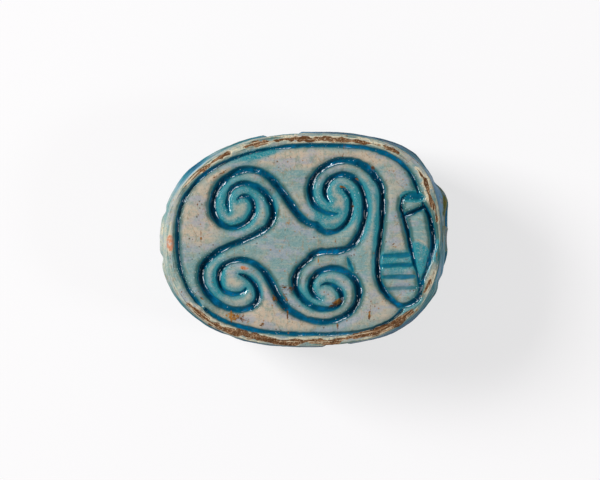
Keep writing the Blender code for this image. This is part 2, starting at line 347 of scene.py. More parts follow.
@dataclass(frozen=True)
class Gouge:
    """One carved line: its way over the surface, and how its cut swells and fades along it.

    The widths, depths and pools are given at even stations from the line's start to its end. The
    glaze and its soft edge are laid a little to one side of the path, towards the upper left, and the
    cut as much to the other: partly glaze that ran before it set, partly painted shade on the bank that
    the light from the upper left leaves dark. The bed is the share of the half width that is cut flat.
    """

    name: str
    path: np.ndarray
    widths: tuple[float, ...]
    depths: tuple[float, ...]
    pools: tuple[float, ...] = (1.0,)
    halo: float = 0.23 * MM
    shoulder: float = 0.06 * MM
    shoulder_reach: float = 0.24 * MM
    shore_reach: float = 0.36 * MM
    taper: float = 0.9 * MM
    scratch_depth: float = 0.1 * MM
    blunt: float = 0.45
    bed: float = 0.4
    # Shift of the glaze towards the upper left, and of the cut the other way: partly glaze that ran, partly painted
    # shade.
    glaze_and_shade_lean: tuple[float, float, float] = (-0.035 * MM, 0.02 * MM, 0.0)
    # The way towards the lower right bank, which faces the light and takes the painted glint.
    bank_way: tuple[float, float, float] = (0.9, -0.45, 0.0)

    def at(self, share: np.ndarray, values: tuple[float, ...]) -> np.ndarray:
        """One of the swelling sizes at shares of the way along the line."""
        return np.interp(share, np.linspace(0, 1, len(values)) if len(values) > 1 else [0.0], values)

    def measured(self, trail: Trail, points: np.ndarray, waver: np.ndarray) -> tuple[np.ndarray, ...]:
        """Measures places against the line.

        Args:
            trail: The line's sampled path.
            points: Places near it.
            waver: How far the hand strayed at each place, in metres.

        Returns:
            Number of the nearest sample, share of the way along, distance, how full the line is
            there, half its width, and how far past its edge the place lies.
        """
        number, distance = trail.nearest(points)
        distance = np.maximum(distance + waver, 0.0)
        share = number / (len(trail.samples) - 1)
        to_end = np.minimum(trail.travelled[number], trail.travelled[-1] - trail.travelled[number])
        full = np.clip(self.blunt + to_end / self.taper, 0.0, 1.0)
        half = self.at(share, self.widths) / 2 * full
        return number, share, distance, full, half, np.maximum(distance - 0.8 * half, 0.0)

    def traces(self, points: np.ndarray, waver: np.ndarray) -> Traces:
        """Reads what the line does at places.

        Args:
            points: Places on the uncut surface, one row each.
            waver: How far the hand strayed at each place, in metres.

        Returns:
            The line's traces.
        """
        trail = Trail.along(self.path)
        near = trail.near(points, max(self.widths) / 2 + self.taper)
        made = Traces.blank(len(points))
        glaze_and_shade_lean = np.array(self.glaze_and_shade_lean)

        _, share, distance, full, half, past = self.measured(trail, points[near] + glaze_and_shade_lean, waver[near])
        bowl = 1.0 - smooth_step(self.bed, 1.02, distance / half)
        edge = self.shoulder * full * np.exp(-((past / self.shoulder_reach) ** 2)) * (1 - 0.5 * bowl)
        made.cut[near] = self.at(share, self.depths) * full * bowl + edge
        made.gloss[near] = 1.0 - smooth_step(0.8, 1.02, distance / half)

        number, share, distance, full, half, past = self.measured(trail, points[near] - glaze_and_shade_lean, waver[near])
        upright = trail.upright[number]
        # Painted shade: the glaze and its soft edge are laid darker where the stroke runs up and down, whose banks the
        # light from the left leaves in shade.
        glaze = self.at(share, self.pools) * (0.82 + 0.36 * upright)
        breadth = np.maximum(half, 0.01 * MM)
        offset = points[near] - glaze_and_shade_lean - trail.samples[number]
        made.across[near] = distance / breadth + (full < 0.7) + (max(self.depths) < self.scratch_depth)
        made.bank[near] = offset @ np.array(self.bank_way) / breadth
        made.pool[near] = glaze * (1.0 - smooth_step(0.3, 1.06, distance / half))
        made.soft[near] = glaze * (0.5 + 0.5 * upright) * np.exp(-((past / self.halo) ** 2))
        made.beside[near] = np.exp(-((past / self.shore_reach) ** 2))
        return made


@dataclass(frozen=True)
class Spot:
    """A soft-edged oval place on the engraved face, in sheet units, with a strength."""

    centre: tuple[float, float]
    size: tuple[float, float]
    tilt: float = 0.0
    strength: float = 1.0
    edge: float = 0.5

    def cover(self, sheet: np.ndarray) -> np.ndarray:
        """How much of the spot lies at each place on the sheet."""
        offset = turned(sheet - np.array(self.centre), self.tilt) / np.array(self.size)
        return self.strength * (1.0 - smooth_step(1.0 - self.edge, 1.0 + self.edge, np.linalg.norm(offset, axis=1)))


@dataclass(frozen=True)
class Streak:
    """A ragged streak on the sheet, such as a rubbed stretch of the rim or a hair crack."""

    knots: tuple[tuple[float, float], ...]
    widths: tuple[float, ...]
    strength: float = 1.0
    edge: float = 0.07

    def cover(self, sheet: np.ndarray, waver: np.ndarray) -> np.ndarray:
        """How much of the streak lies at each place, its edges moved by waver in sheet units.

        Args:
            sheet: Places on the face, in sheet units.
            waver: How far its edges are moved there.

        Returns:
            The share at each place, from 0.
        """
        knots = np.array(self.knots)
        nearest = np.full(len(sheet), np.inf)
        share = np.zeros(len(sheet))
        for number, (start, end) in enumerate(zip(knots[:-1], knots[1:])):
            way = end - start
            along = np.clip((sheet - start) @ way / (way @ way), 0.0, 1.0)
            distance = np.linalg.norm(sheet - start - along[:, None] * way, axis=1)
            closer = distance < nearest
            nearest = np.where(closer, distance, nearest)
            share = np.where(closer, (number + along) / (len(knots) - 1), share)
        half = np.interp(share, np.linspace(0, 1, len(self.widths)), self.widths) / 2
        return self.strength * (1.0 - smooth_step(-self.edge, self.edge, nearest + waver - half))


@dataclass(frozen=True)
class Stretch:
    """A stretch of the flank, about a direction in degrees, that is tinted between two depths."""

    tint: Tint
    turn: float
    spread: float
    strength: float
    top: float = 0.2 * MM
    bottom: float = 4.4 * MM

    def cover(self, degrees: np.ndarray, depth: np.ndarray) -> np.ndarray:
        """How much of the tint lies at each direction and depth.

        Args:
            degrees: Directions from the middle, in degrees.
            depth: How far below the face each place lies, in metres.

        Returns:
            The share at each place, from 0.
        """
        away = (degrees - self.turn + 180.0) % 360.0 - 180.0
        rise = smooth_step(self.top - 0.12 * MM, self.top + 0.12 * MM, depth)
        fall = smooth_step(self.bottom + 0.2 * MM, self.bottom - 0.2 * MM, depth)
        return self.strength * np.exp(-((away / self.spread) ** 2)) * rise * fall


@dataclass(frozen=True)
class Nick:
    """A dent in the amulet's outline at a direction in degrees, or a swelling if it is negative."""

    turn: float
    spread: float
    depth: float

    def dent(self, degrees: np.ndarray) -> np.ndarray:
        """How far the outline is dented at each direction, in metres."""
        away = (degrees - self.turn + 180.0) % 360.0 - 180.0
        return self.depth * np.exp(-((away / self.spread) ** 2))


@dataclass(frozen=True)
class StoneForm:
    """Sizes of the uncarved stone, the same as the solid's, and the surfaces worked out from them."""

    length: float = 19.0 * MM
    width: float = 14.2 * MM
    height: float = 8.4 * MM
    plate: float = 1.1 * MM
    plate_groove: float = 0.5 * MM
    plate_groove_depth: float = 0.12 * MM
    legs: float = 2.7 * MM
    waist: float = 0.55 * MM
    waist_depth: float = 0.3 * MM
    flare: tuple[float, float, float, float] = (0.5 * MM, 0.35 * MM, 0.22 * MM, 0.12 * MM)
    head_overhang: float = 0.3 * MM
    head_direction: float = math.radians(3)
    head_spread: float = math.radians(17)
    cheek_depth: float = 0.45 * MM
    cheek_offset: float = math.radians(27)
    cheek_spread: float = math.radians(9)
    head_length: float = 3.3 * MM
    head_step_radius: float = 4.4 * MM
    head_thickness: float = 1.35 * MM
    head_step_slope: float = 0.3 * MM
    rest_share: float = 0.2
    back_squareness: float = 2.1
    back_spread: float = 0.5
    squareness: tuple[float, float, float, float] = (2.1, 2.85, 2.45, 2.33)
    sheet: tuple[float, float] = (19.0, 14.2)

    def oval(self, spread: float, inset: float = 0.0) -> Oval:
        """The outline at a share of the way from the rim, 0, to the widest, 1.

        Args:
            spread: Share of the way from the rim, 0, to the widest, 1.
            inset: How far inside that, in metres.

        Returns:
            The oval.
        """
        tail, head, right, left = (spread * size - inset for size in self.flare)
        return Oval(
            self.length / 2 - self.flare[0] + tail,
            self.length / 2 - self.head_overhang - self.flare[1] + head,
            self.width / 2 - self.flare[2] + right,
            self.width / 2 - self.flare[3] + left,
            self.squareness,
        )

    def outline(self, angle: np.ndarray, spread: float, inset: float = 0.0, head: float = 0.0) -> np.ndarray:
        """Reach of the outline at each angle, with a share of the head's bulge and hollow cheeks.

        Args:
            angle: Directions from the middle, in radians.
            spread: Share of the way from the rim to the widest.
            inset: How far inside that, in metres.
            head: Share of the head's bulge and hollow cheeks.

        Returns:
            The reach at each angle, in metres.
        """
        oval = self.oval(spread, inset)
        turn = (angle - self.head_direction + math.pi) % (2 * math.pi) - math.pi
        bulge = (self.length / 2 - oval.head) * np.exp(-((turn / self.head_spread) ** 4))
        cheek = np.exp(-(((np.abs(turn) - self.cheek_offset) / self.cheek_spread) ** 2))
        return oval.radius(angle) + head * (bulge - self.cheek_depth * cheek)

    def levels(self) -> np.ndarray:
        """(depth, spread, inset, head) down the side, from the rim to the edge of the back.

        Returns:
            The levels, from the top down.
        """
        legs = self.plate + self.plate_groove
        waist = legs + self.legs
        return np.array([
            (0.0, 0.0, 0.0, 0.0),
            (0.14 * self.plate, 0.3, 0.0, 0.0),
            (0.5 * self.plate, 0.5, 0.0, 0.0),
            (self.plate, 0.58, 0.0, 0.0),
            (self.plate + 0.5 * self.plate_groove, 0.45, self.plate_groove_depth, 0.0),
            (legs, 0.75, 0.0, 0.0),
            (legs + 0.15 * self.legs, 1.0, 0.0, 0.1),
            (legs + 0.5 * self.legs, 1.0, 0.0, 0.25),
            (legs + 0.85 * self.legs, 0.85, 0.0, 0.4),
            (waist, 0.55, 0.0, 0.55),
            (waist + 0.5 * self.waist, 0.4, self.waist_depth, 0.75),
            (waist + self.waist, self.back_spread, 0.0, 1.0),
        ])

    def edge_depth(self) -> float:
        """Depth of the back's edge below the engraved face."""
        return self.plate + self.plate_groove + self.legs + self.waist

    def back_height(self, share: np.ndarray) -> np.ndarray:
        """Height of the domed back over the floor, at shares of its outline.

        Args:
            share: Shares of the way from the middle to the edge.

        Returns:
            The heights, in metres.
        """
        power = self.back_squareness
        dome = (1 - np.clip(share, self.rest_share, 1.0) ** power) ** (1 / power)
        crown = (1 - self.rest_share ** power) ** (1 / power)
        return (self.height - self.edge_depth()) * (1 - dome / crown)

    def head_step(self, x: np.ndarray, y: np.ndarray, z: np.ndarray) -> np.ndarray:
        """Raises the floor side of the back to the lower level of the head, in front of the thorax.

        Args:
            x: Places along the length.
            y: Places along the width.
            z: Heights of the back there.

        Returns:
            The heights with the step.
        """
        top = self.height - self.edge_depth() - self.head_thickness
        centre = self.length / 2 - self.head_length + self.head_step_radius
        inside = self.head_step_radius - np.hypot(x - centre, y)
        share = smooth_step(0.0, self.head_step_slope, inside)
        return z + share * np.maximum(top - z, 0.0)

    def on_sheet(self, points: np.ndarray) -> np.ndarray:
        """Places in metres to sheet units."""
        return points[:, :2] / np.array([self.length / self.sheet[0], self.width / self.sheet[1]])

    def face_path(self, sheet: np.ndarray) -> np.ndarray:
        """Sheet units to a path on the engraved face."""
        flat = sheet * np.array([self.length / self.sheet[0], self.width / self.sheet[1]])
        return np.column_stack([flat, np.full(len(flat), self.height)])

    def back_path(self, shares: np.ndarray) -> np.ndarray:
        """Shares of the half length and half width to a path on the back.

        Args:
            shares: Stops, one row each.

        Returns:
            The path's points.
        """
        flat = shares * (self.length / 2, self.width / 2)
        full = self.outline(np.arctan2(flat[:, 1], flat[:, 0]), self.back_spread)
        z = self.back_height(np.minimum(np.hypot(flat[:, 0], flat[:, 1]) / full, 1.0))
        return np.column_stack([flat, self.head_step(flat[:, 0], flat[:, 1], z)])

    def side_path(self, stops: np.ndarray) -> np.ndarray:
        """(direction in degrees, share of the leg band) stops to a path on the side.

        Args:
            stops: Stops, one row each.

        Returns:
            The path's points.
        """
        levels = self.levels()
        path = []
        for turn, share in stops:
            depth = self.plate + self.plate_groove + self.legs * share
            spread, inset, head = (float(np.interp(depth, levels[:, 0], levels[:, k])) for k in (1, 2, 3))
            angle = np.array([math.radians(turn)])
            out = float(self.outline(angle, spread, inset, head)[0])
            path.append((out * math.cos(angle[0]), out * math.sin(angle[0]), self.height - depth))
        return np.array(path)


@dataclass(frozen=True)
class Break:
    """A place where the edge between two legs has broken away, down to a straight limit."""

    middle: float
    length: float
    depth: float
    side: int
    lean: float

    def limit(self, points: np.ndarray, form: StoneForm) -> np.ndarray:
        """Moves places that lie past the broken face back onto it.

        Args:
            points: Places, one row each.
            form: The stone's form.

        Returns:
            The moved places.
        """
        along = points[:, 0] - self.middle
        past = np.maximum(np.abs(along) - self.length / 2, 0.0)
        edge = form.width / 2 - self.depth + self.lean * self.depth * along / (self.length / 2) + past / 1.5
        reach = points[:, 1] * self.side
        lowest = form.height - form.plate - form.plate_groove - form.legs
        fade = smooth_step(lowest - 0.2 * MM, lowest, points[:, 2])
        kept = np.where(reach > edge, edge, reach)
        moved = points.copy()
        moved[:, 1] = (reach + (kept - reach) * fade) * self.side
        return moved


@dataclass
class Engraving:
    """Every carved line of the amulet, on the engraved base, the back and the legs."""

    form: StoneForm
    placing: tuple[float, float] = (0.03, -0.02)
    breadth: float = 0.93 * MM
    bite: float = 0.72 * MM
    leg_breadth: float = 0.62 * MM
    leg_bite: float = 0.2 * MM
    back_breadth: float = 0.42 * MM
    back_bite: float = 0.28 * MM

    def scrolls(self) -> list[Gouge]:
        """The four linked scrolls, each line from one scroll's heart to the next one's.

        Returns:
            The four lines.
        """
        right = joined(
            Volute((-4.24, 2.21), (0.49, 2.63), (112, -306), 1.08, 0.85, -35).points(),
            Volute((1.95, 2.08), (1.96, 1.36), (-146, 71), 0.41, 0.77, -15).points(),
        )
        tail = joined(
            Volute((-3.40, 2.09), (1.99, 1.45), (-162, -421), 0.77, 0.75, 41).points(),
            Volute((-4.50, -3.11), (2.67, 1.20), (127, 431), 0.90, 0.72, 61).points(),
        )
        tail = leaned(leaned(tail, 0.46, 0.075, (0.2, -0.26)), 0.68, 0.07, (0.02, 0.0))
        left = joined(
            Volute((-4.39, -2.77), (0.74, 1.89), (-43, -329), 1.00, 0.86, 85).points(),
            Volute((1.59, -3.26), (2.55, 0.81), (-147, 236), 0.74, 1.16, 0).points(),
        )
        head = joined(
            Volute((1.83, 2.18), (0.45, 3.19), (-225, -409), 0.44, 0.76, -11).points(),
            Volute((1.39, -3.43), (2.16, 0.41), (106, 480), 0.60, 1.34, -22).points(),
        )
        head = leaned(leaned(head, 0.48, 0.06, (0.02, -0.13)), 0.3, 0.07, (-0.05, 0.0))
        left = leaned(left, 0.2, 0.06, (0.08, 0.0))
        right = leaned(right, 0.54, 0.07, (0.12, 0.1))
        return [
            self.face_line("right_scrolls", right, (0.44, 0.56, 0.62, 0.72, 0.66, 0.62, 0.6, 0.48, 0.34),
                           (0.24, 0.36, 0.42, 0.42, 0.42, 0.42, 0.4, 0.34, 0.26)),
            self.face_line("tail_scrolls", tail, (0.34, 0.56, 0.66, 0.66, 0.6, 0.68, 0.62, 0.6, 0.42),
                           (0.16, 0.36, 0.42, 0.42, 0.42, 0.44, 0.4, 0.36, 0.46),
                           (0.7, 1.0, 1.0, 1.0, 1.0, 1.0, 1.0, 1.0, 1.2)),
            self.face_line("left_scrolls", left, (0.42, 0.52, 0.58, 0.66, 0.62, 0.58, 0.66, 0.62, 0.46),
                           (0.24, 0.36, 0.4, 0.4, 0.42, 0.4, 0.4, 0.42, 0.34)),
            self.face_line("head_scrolls", head, (0.44, 0.56, 0.56, 0.62, 0.64, 0.58, 0.56, 0.5, 0.42),
                           (0.26, 0.38, 0.4, 0.42, 0.42, 0.4, 0.36, 0.34, 0.26)),
        ]

    def border(self) -> list[Gouge]:
        """The border line, cut in two strokes that don't quite meet.

        Returns:
            The two strokes.
        """
        oval = Oval(9.24, 6.68, 5.52, 6.83, (2.27, 3.09, 2.97, 2.82))
        lines = []
        for name, first, last, blunt in (("border_right", 20, 213, 0.5), ("border_left", 215, 317, 0.85)):
            angles = np.radians(np.linspace(first, last, 120))
            size = oval.radius(angles)
            flat = np.stack([size * np.cos(angles), size * np.sin(angles)], axis=1) + np.array((0.93, 0.63))
            lines.append(self.face_line(name, flat, (0.38, 0.42, 0.36, 0.38, 0.36), (0.3, 0.3, 0.26, 0.32, 0.28),
                                        (0.9, 1.0, 0.95, 0.7, 0.72), blunt))
        return lines

    def cobra(self) -> list[Gouge]:
        """The line that runs on round the cobra, and its neck, brow, jaw and stripes.

        Returns:
            The cobra's lines.
        """
        loop = smooth_through([
            (5.08, 3.21), (5.12, 1.9), (4.95, 0.1), (4.78, -1.7), (5.05, -3.1), (6.2, -4.3),
            (7.35, -3.9), (7.75, -2.6), (8.4, -0.5), (8.22, 1.3), (7.71, 2.42),
        ])
        outer = joined(Volute((2.28, 3.07), (1.55, 2.57), (-92, -335), 1.00, 0.89, 105).points(), loop)
        neck = smooth_through([(6.34, 2.5), (6.33, 2.03), (6.53, 1.37), (6.72, 0.71), (6.92, -0.4),
                               (7.18, -1.53), (7.45, -2.45), (7.6, -3.5)])
        lines = [
            self.face_line("cobra_scroll", outer, (0.4, 0.6, 0.64, 0.64, 0.6, 0.54, 0.5, 0.5, 0.54, 0.36, 0.5, 0.46),
                           (0.2, 0.38, 0.42, 0.4, 0.4, 0.42, 0.44, 0.42, 0.34, 0.2, 0.4, 0.36),
                           (0.8, 1.0, 1.0, 0.95, 1.0, 1.05, 1.15, 1.05, 0.8, 0.6, 1.1, 1.0)),
            self.face_line("spur", smooth_through([(2.85, -1.25), (3.0, -1.65), (3.2, -2.1)]), (0.3, 0.34, 0.26),
                           (0.08,), (0.5, 0.6, 0.7), 0.6),
            self.face_line("cobra_neck", neck, (0.34, 0.42, 0.42, 0.34, 0.24, 0.2), (0.3, 0.34, 0.34, 0.28, 0.2, 0.14),
                           (1.0, 1.1, 1.1, 0.9, 0.7, 0.6)),
            self.face_line("cobra_brow", smooth_through([(6.55, 2.72), (7.0, 2.86), (7.6, 2.74)]),
                           (0.6, 0.84, 0.76), (0.16, 0.2, 0.24), (0.62, 0.72, 0.85), 0.8),
            self.face_line("cobra_crown", smooth_through([(6.34, 2.4), (6.42, 2.72), (6.7, 2.98)]),
                           (0.3, 0.36, 0.3), (0.2, 0.2), (0.9, 0.8, 0.6), 0.8),
            self.face_line("cobra_jaw", smooth_through([(6.4, 1.5), (7.1, 1.78), (7.8, 2.1)]),
                           (0.5, 0.54, 0.5), (0.3, 0.34, 0.3), (1.2,), 0.8),
        ]
        stripes = [(-1.05, 5.1, 6.9, 0.7), (-1.7, 5.05, 7.0, 0.72), (-2.45, 5.15, 7.15, 0.68), (-3.2, 5.4, 7.3, 0.36)]
        for number, (y, start, end, pool) in enumerate(stripes, 1):
            flat = np.stack([np.linspace(start, end, 12), y + np.linspace(-0.03, 0.03, 12)], axis=1)
            lines.append(self.face_line(f"cobra_stripe_{number}", flat, (0.42, 0.5, 0.4), (0.1,), (pool,), 0.8))
        return lines

    def face_line(self, name: str, sheet: np.ndarray, widths: tuple[float, ...], depths: tuple[float, ...],
                  pools: tuple[float, ...] = (1.0,), blunt: float = 0.45) -> Gouge:
        """A line on the engraved face, from sheet units and shares of the breadth and the bite."""
        return Gouge(name, self.form.face_path(sheet + self.placing), tuple(self.breadth * share for share in widths),
                     tuple(self.bite * share for share in depths), pools, blunt=blunt)

    def back_lines(self) -> list[Gouge]:
        """The seam of the wing cases, the line behind the thorax and the shoulder lines.

        Returns:
            The lines of the back.
        """
        knots = {
            "wing_seam": [(-0.88, 0), (-0.6, 0), (-0.25, 0), (0.17, 0)],
            "thorax_line": [(0.3, -0.84), (0.2, -0.45), (0.17, 0), (0.2, 0.45), (0.3, 0.84)],
            "shoulder_right": [(0.16, 0.6), (0.04, 0.72), (-0.02, 0.86)],
            "shoulder_left": [(0.16, -0.6), (0.04, -0.72), (-0.02, -0.86)],
        }
        return [Gouge(name, self.form.back_path(smooth_through(way)), (self.back_breadth,), (self.back_bite,))
                for name, way in knots.items()]

    def leg_lines(self) -> list[Gouge]:
        """The lines between the front, middle and hind legs of both flanks.

        Returns:
            The lines of both flanks.
        """
        strokes = {
            "front_leg": ((26, 0.9), (44, 0.12)),
            "front_thigh": ((38, 0.95), (62, 0.2)),
            "middle_leg": ((74, 0.9), (104, 0.15)),
            "hind_leg": ((112, 0.85), (146, 0.3)),
            "hind_foot": ((128, 0.95), (158, 0.62)),
        }
        lines = []
        for name, (start, end) in strokes.items():
            for flank, side in (("right", 1), ("left", -1)):
                stops = np.linspace(start, end, 30) * (side, 1)
                lines.append(Gouge(f"{name}_{flank}", self.form.side_path(stops), (self.leg_breadth,),
                                   (self.leg_bite,), bed=0.0, glaze_and_shade_lean=(0.0, 0.0, 0.0)))
        return lines

    def by_place(self) -> dict[Where, list[Gouge]]:
        """The lines of each part of the surface.

        Returns:
            The lines, for each part that has any.
        """
        return {
            Where.FACE: self.scrolls() + self.border() + self.cobra(),
            Where.SIDE: self.leg_lines(),
            Where.BACK: self.back_lines(),
        }


@dataclass
class Surface:
    """Points of the fine mesh before carving, with where each lies and its outward direction."""

    points: np.ndarray
    normals: np.ndarray
    where: np.ndarray


@dataclass
class FineMesh:
    """Builds the uncarved stone as one closed net of small faces, with the bore cut through it."""

    form: StoneForm
    breaks: tuple[Break, ...]
    across: int = 272
    along: int = 200
    plate_rings: int = 10
    band_rings: int = 41
    between: int = 15
    bore_diameter: float = 1.9 * MM
    bore_segments: int = 64

    def disc(self, columns: int, rows: int) -> tuple[np.ndarray, np.ndarray]:
        """A square net drawn out to a disc.

        Args:
            columns: Faces along the first axis.
            rows: Faces along the second axis.

        Returns:
            Angle and share of the radius of each point, as two tables.
        """
        u, v = np.meshgrid(np.linspace(-1, 1, columns + 1), np.linspace(-1, 1, rows + 1), indexing="ij")
        x = u * np.sqrt(1 - v * v / 2)
        y = v * np.sqrt(1 - u * u / 2)
        angle = np.arctan2(y * self.form.width, x * self.form.length)
        return angle, np.minimum(np.hypot(x, y), 1.0)

    def loop(self, columns: int, rows: int) -> list[tuple[int, int]]:
        """The net's border in order, anticlockwise seen from above.

        Args:
            columns: Faces along the first axis.
            rows: Faces along the second axis.

        Returns:
            Column and row of each point.
        """
        path = [(i, 0) for i in range(columns)]
        path += [(columns, j) for j in range(rows)]
        path += [(i, rows) for i in range(columns, 0, -1)]
        path += [(0, j) for j in range(rows, 0, -1)]
        return path

    def net_faces(self, ids: np.ndarray, upward: bool) -> list[tuple[int, ...]]:
        """The faces of a net of point numbers."""
        quads = np.stack([ids[:-1, :-1], ids[1:, :-1], ids[1:, 1:], ids[:-1, 1:]], axis=-1).reshape(-1, 4)
        return [tuple(quad) for quad in (quads if upward else quads[:, ::-1]).tolist()]

    def side_rows(self, count: int, first: float, last: float) -> np.ndarray:
        """Smoothed rows of (depth, spread, inset, head), between two places in the list of levels.

        Args:
            count: How many rows.
            first: Where to start in the list.
            last: Where to end.

        Returns:
            The rows.
        """
        levels = self.form.levels()
        smooth = smooth_through([tuple(level) for level in levels], self.between)
        place = np.linspace(first, last, count) * (self.between + 1)
        return np.stack([np.interp(place, np.arange(len(smooth)), smooth[:, k]) for k in range(4)], axis=1)

    def build(self) -> tuple[np.ndarray, list[tuple[int, ...]]]:
        """Works out every point and face of the closed stone.

        Returns:
            The points, and each face's point numbers.
        """
        form = self.form
        points: list[np.ndarray] = []
        faces: list[tuple[int, ...]] = []
        angle, share = self.disc(self.across, self.along)
        out = form.outline(angle, 0.0) * share
        points.append(np.column_stack([
            (out * np.cos(angle)).ravel(), (out * np.sin(angle)).ravel(), np.full(out.size, form.height)]))
        ids = np.arange(out.size).reshape(out.shape)
        faces += self.net_faces(ids, True)
        loop = self.loop(self.across, self.along)
        ring = [int(ids[place]) for place in loop]
        turn = np.array([angle[place] for place in loop])
        total = out.size
        for depth, spread, inset, head in self.side_rows(self.plate_rings, 0.0, 4.0)[1:]:
            ring, total = self.add_ring(points, faces, ring, turn, (depth, spread, inset, head), total)
        half_turn = turn[::2]
        rows = self.side_rows(self.band_rings, 4.0, 11.0)[1:]
        wide = ring
        out = form.outline(half_turn, *rows[0][1:])
        points.append(np.column_stack([
            out * np.cos(half_turn), out * np.sin(half_turn), np.full(len(out), form.height - rows[0][0])]))
        ring = list(range(total, total + len(out)))
        total += len(out)
        for j, corner in enumerate(ring):
            after = (j + 1) % len(ring)
            faces.append((wide[2 * j], corner, ring[after], wide[(2 * j + 2) % len(wide)], wide[2 * j + 1]))
        for row in rows[1:-1]:
            ring, total = self.add_ring(points, faces, ring, half_turn, tuple(row), total)
        angle, share = self.disc(self.across // 2, self.along // 2)
        near_edge = form.outline(angle, form.back_spread, 0.0, 0.0)
        with_head = form.outline(angle, form.back_spread, 0.0, 1.0)
        out = (near_edge + (with_head - near_edge) * share ** 6) * share
        x = (out * np.cos(angle)).ravel()
        y = (out * np.sin(angle)).ravel()
        z = form.head_step(x, y, form.back_height(share.ravel()))
        points.append(np.column_stack([x, y, z]))
        ids = np.arange(total, total + out.size).reshape(out.shape)
        faces += self.net_faces(ids, False)
        back = [int(ids[place]) for place in self.loop(self.across // 2, self.along // 2)]
        faces += self.band(ring, back)
        return np.concatenate(points), faces

    def band(self, upper: list[int], lower: list[int]) -> list[tuple[int, ...]]:
        """Faces between two equal rings."""
        turned_upper, turned_lower = upper[1:] + upper[:1], lower[1:] + lower[:1]
        return list(zip(upper, lower, turned_lower, turned_upper))

    def add_ring(self, points: list[np.ndarray], faces: list[tuple[int, ...]], above: list[int],
                 turn: np.ndarray, row: tuple[float, ...], total: int) -> tuple[list[int], int]:
        """Adds one ring of the side below the last one.

        Args:
            points: Points so far, added to.
            faces: Faces so far, added to.
            above: Point numbers of the ring above.
            turn: Angle of each point of the ring.
            row: Depth, spread, inset and head of the ring.
            total: How many points there are so far.

        Returns:
            The new ring's point numbers, and the new number of points.
        """
        depth, spread, inset, head = row
        out = self.form.outline(turn, spread, inset, head)
        points.append(np.column_stack([
            out * np.cos(turn), out * np.sin(turn), np.full(len(out), self.form.height - depth)]))
        ring = list(range(total, total + len(out)))
        faces += self.band(above, ring)
        return ring, total + len(out)

    def pierced(self, points: np.ndarray, faces: list[tuple[int, ...]]) -> bpy.types.Mesh:
        """The stone as a mesh with the bore cut through it from head to tail.

        Args:
            points: The stone's points.
            faces: Its faces.

        Returns:
            The mesh.
        """
        whole = bpy.data.meshes.new("scarab_whole")
        whole.from_pydata(points.tolist(), [], faces)
        stone = bpy.data.objects.new("scarab_whole", whole)
        bpy.context.scene.collection.objects.link(stone)
        rod = bpy.data.meshes.new("bore_rod")
        shape = bmesh.new()
        bmesh.ops.create_cone(shape, cap_ends=True, segments=self.bore_segments, radius1=self.bore_diameter / 2,
                              radius2=self.bore_diameter / 2, depth=self.form.length * 2)
        bmesh.ops.rotate(shape, verts=shape.verts, cent=(0, 0, 0),
                         matrix=Vector((0, 0, 1)).rotation_difference(Vector((1, 0, 0))).to_matrix())
        bmesh.ops.translate(shape, verts=shape.verts, vec=(0, 0, self.form.height / 2))
        shape.to_mesh(rod)
        shape.free()
        cutter = bpy.data.objects.new("bore_rod", rod)
        bpy.context.scene.collection.objects.link(cutter)
        cut = stone.modifiers.new("bore", "BOOLEAN")
        cut.operation = "DIFFERENCE"
        cut.solver = "MANIFOLD"
        cut.object = cutter
        bpy.context.view_layer.update()
        ready = stone.evaluated_get(bpy.context.evaluated_depsgraph_get())
        mesh = bpy.data.meshes.new_from_object(ready)
        bpy.data.objects.remove(stone, do_unlink=True)
        bpy.data.objects.remove(cutter, do_unlink=True)
        return mesh

    def surface(self, mesh: bpy.types.Mesh) -> Surface:
        """Reads the mesh's points, says where each lies and moves broken places back.

        Args:
            mesh: The pierced stone.

        Returns:
            The surface.
        """
        count = len(mesh.vertices)
        points = np.empty(count * 3, np.float32)
        mesh.vertices.foreach_get("co", points)
        points = points.reshape(-1, 3).astype(float)
        normals = np.array([item.vector[:] for item in mesh.vertex_normals])
        depth = self.form.height - points[:, 2]
        from_axis = np.hypot(points[:, 1], points[:, 2] - self.form.height / 2)
        where = np.full(count, Where.SIDE.value)
        where[depth < 1e-7] = Where.FACE.value
        where[depth > self.form.edge_depth() + 1e-7] = Where.BACK.value
        where[from_axis < self.bore_diameter / 2 + 2e-6] = Where.BORE.value
        for gap in self.breaks:
            on_side = where == Where.SIDE.value
            points[on_side] = gap.limit(points[on_side], self.form)
        return Surface(points, normals, where)


@dataclass
class Node:
    """A socket of the glaze's nodes that can be used in sums, so that shader maths reads as maths."""

    book: "NodeBook"
    socket: bpy.types.NodeSocket

    def math(self, operation: str, first: Any, second: Any) -> "Node":
        """Adds a Math node on two values."""
        return self.book.add("ShaderNodeMath", {"operation": operation}, [first, second])

    def __add__(self, other: Any) -> "Node":
        """Sum."""
        return self.math("ADD", self, other)

    __radd__ = __add__

    def __sub__(self, other: Any) -> "Node":
        """Difference."""
        return self.math("SUBTRACT", self, other)

    def __rsub__(self, other: Any) -> "Node":
        """Difference from a number."""
        return self.math("SUBTRACT", other, self)

    def __mul__(self, other: Any) -> "Node":
        """Product."""
        return self.math("MULTIPLY", self, other)

    __rmul__ = __mul__

    def step(self, low: float, high: float) -> "Node":
        """Rises smoothly from 0 at low to 1 at high, or falls if low is above high."""
        return self.book.add("ShaderNodeMapRange", {"interpolation_type": "SMOOTHSTEP"}, [self, low, high, 0.0, 1.0])

    def frayed(self, ragged: "Node", low: float, high: float) -> "Node":
        """Adds a ragged value to this one, none of it where this one is low and all where it is high."""
        return self + ragged * self.step(low, high)


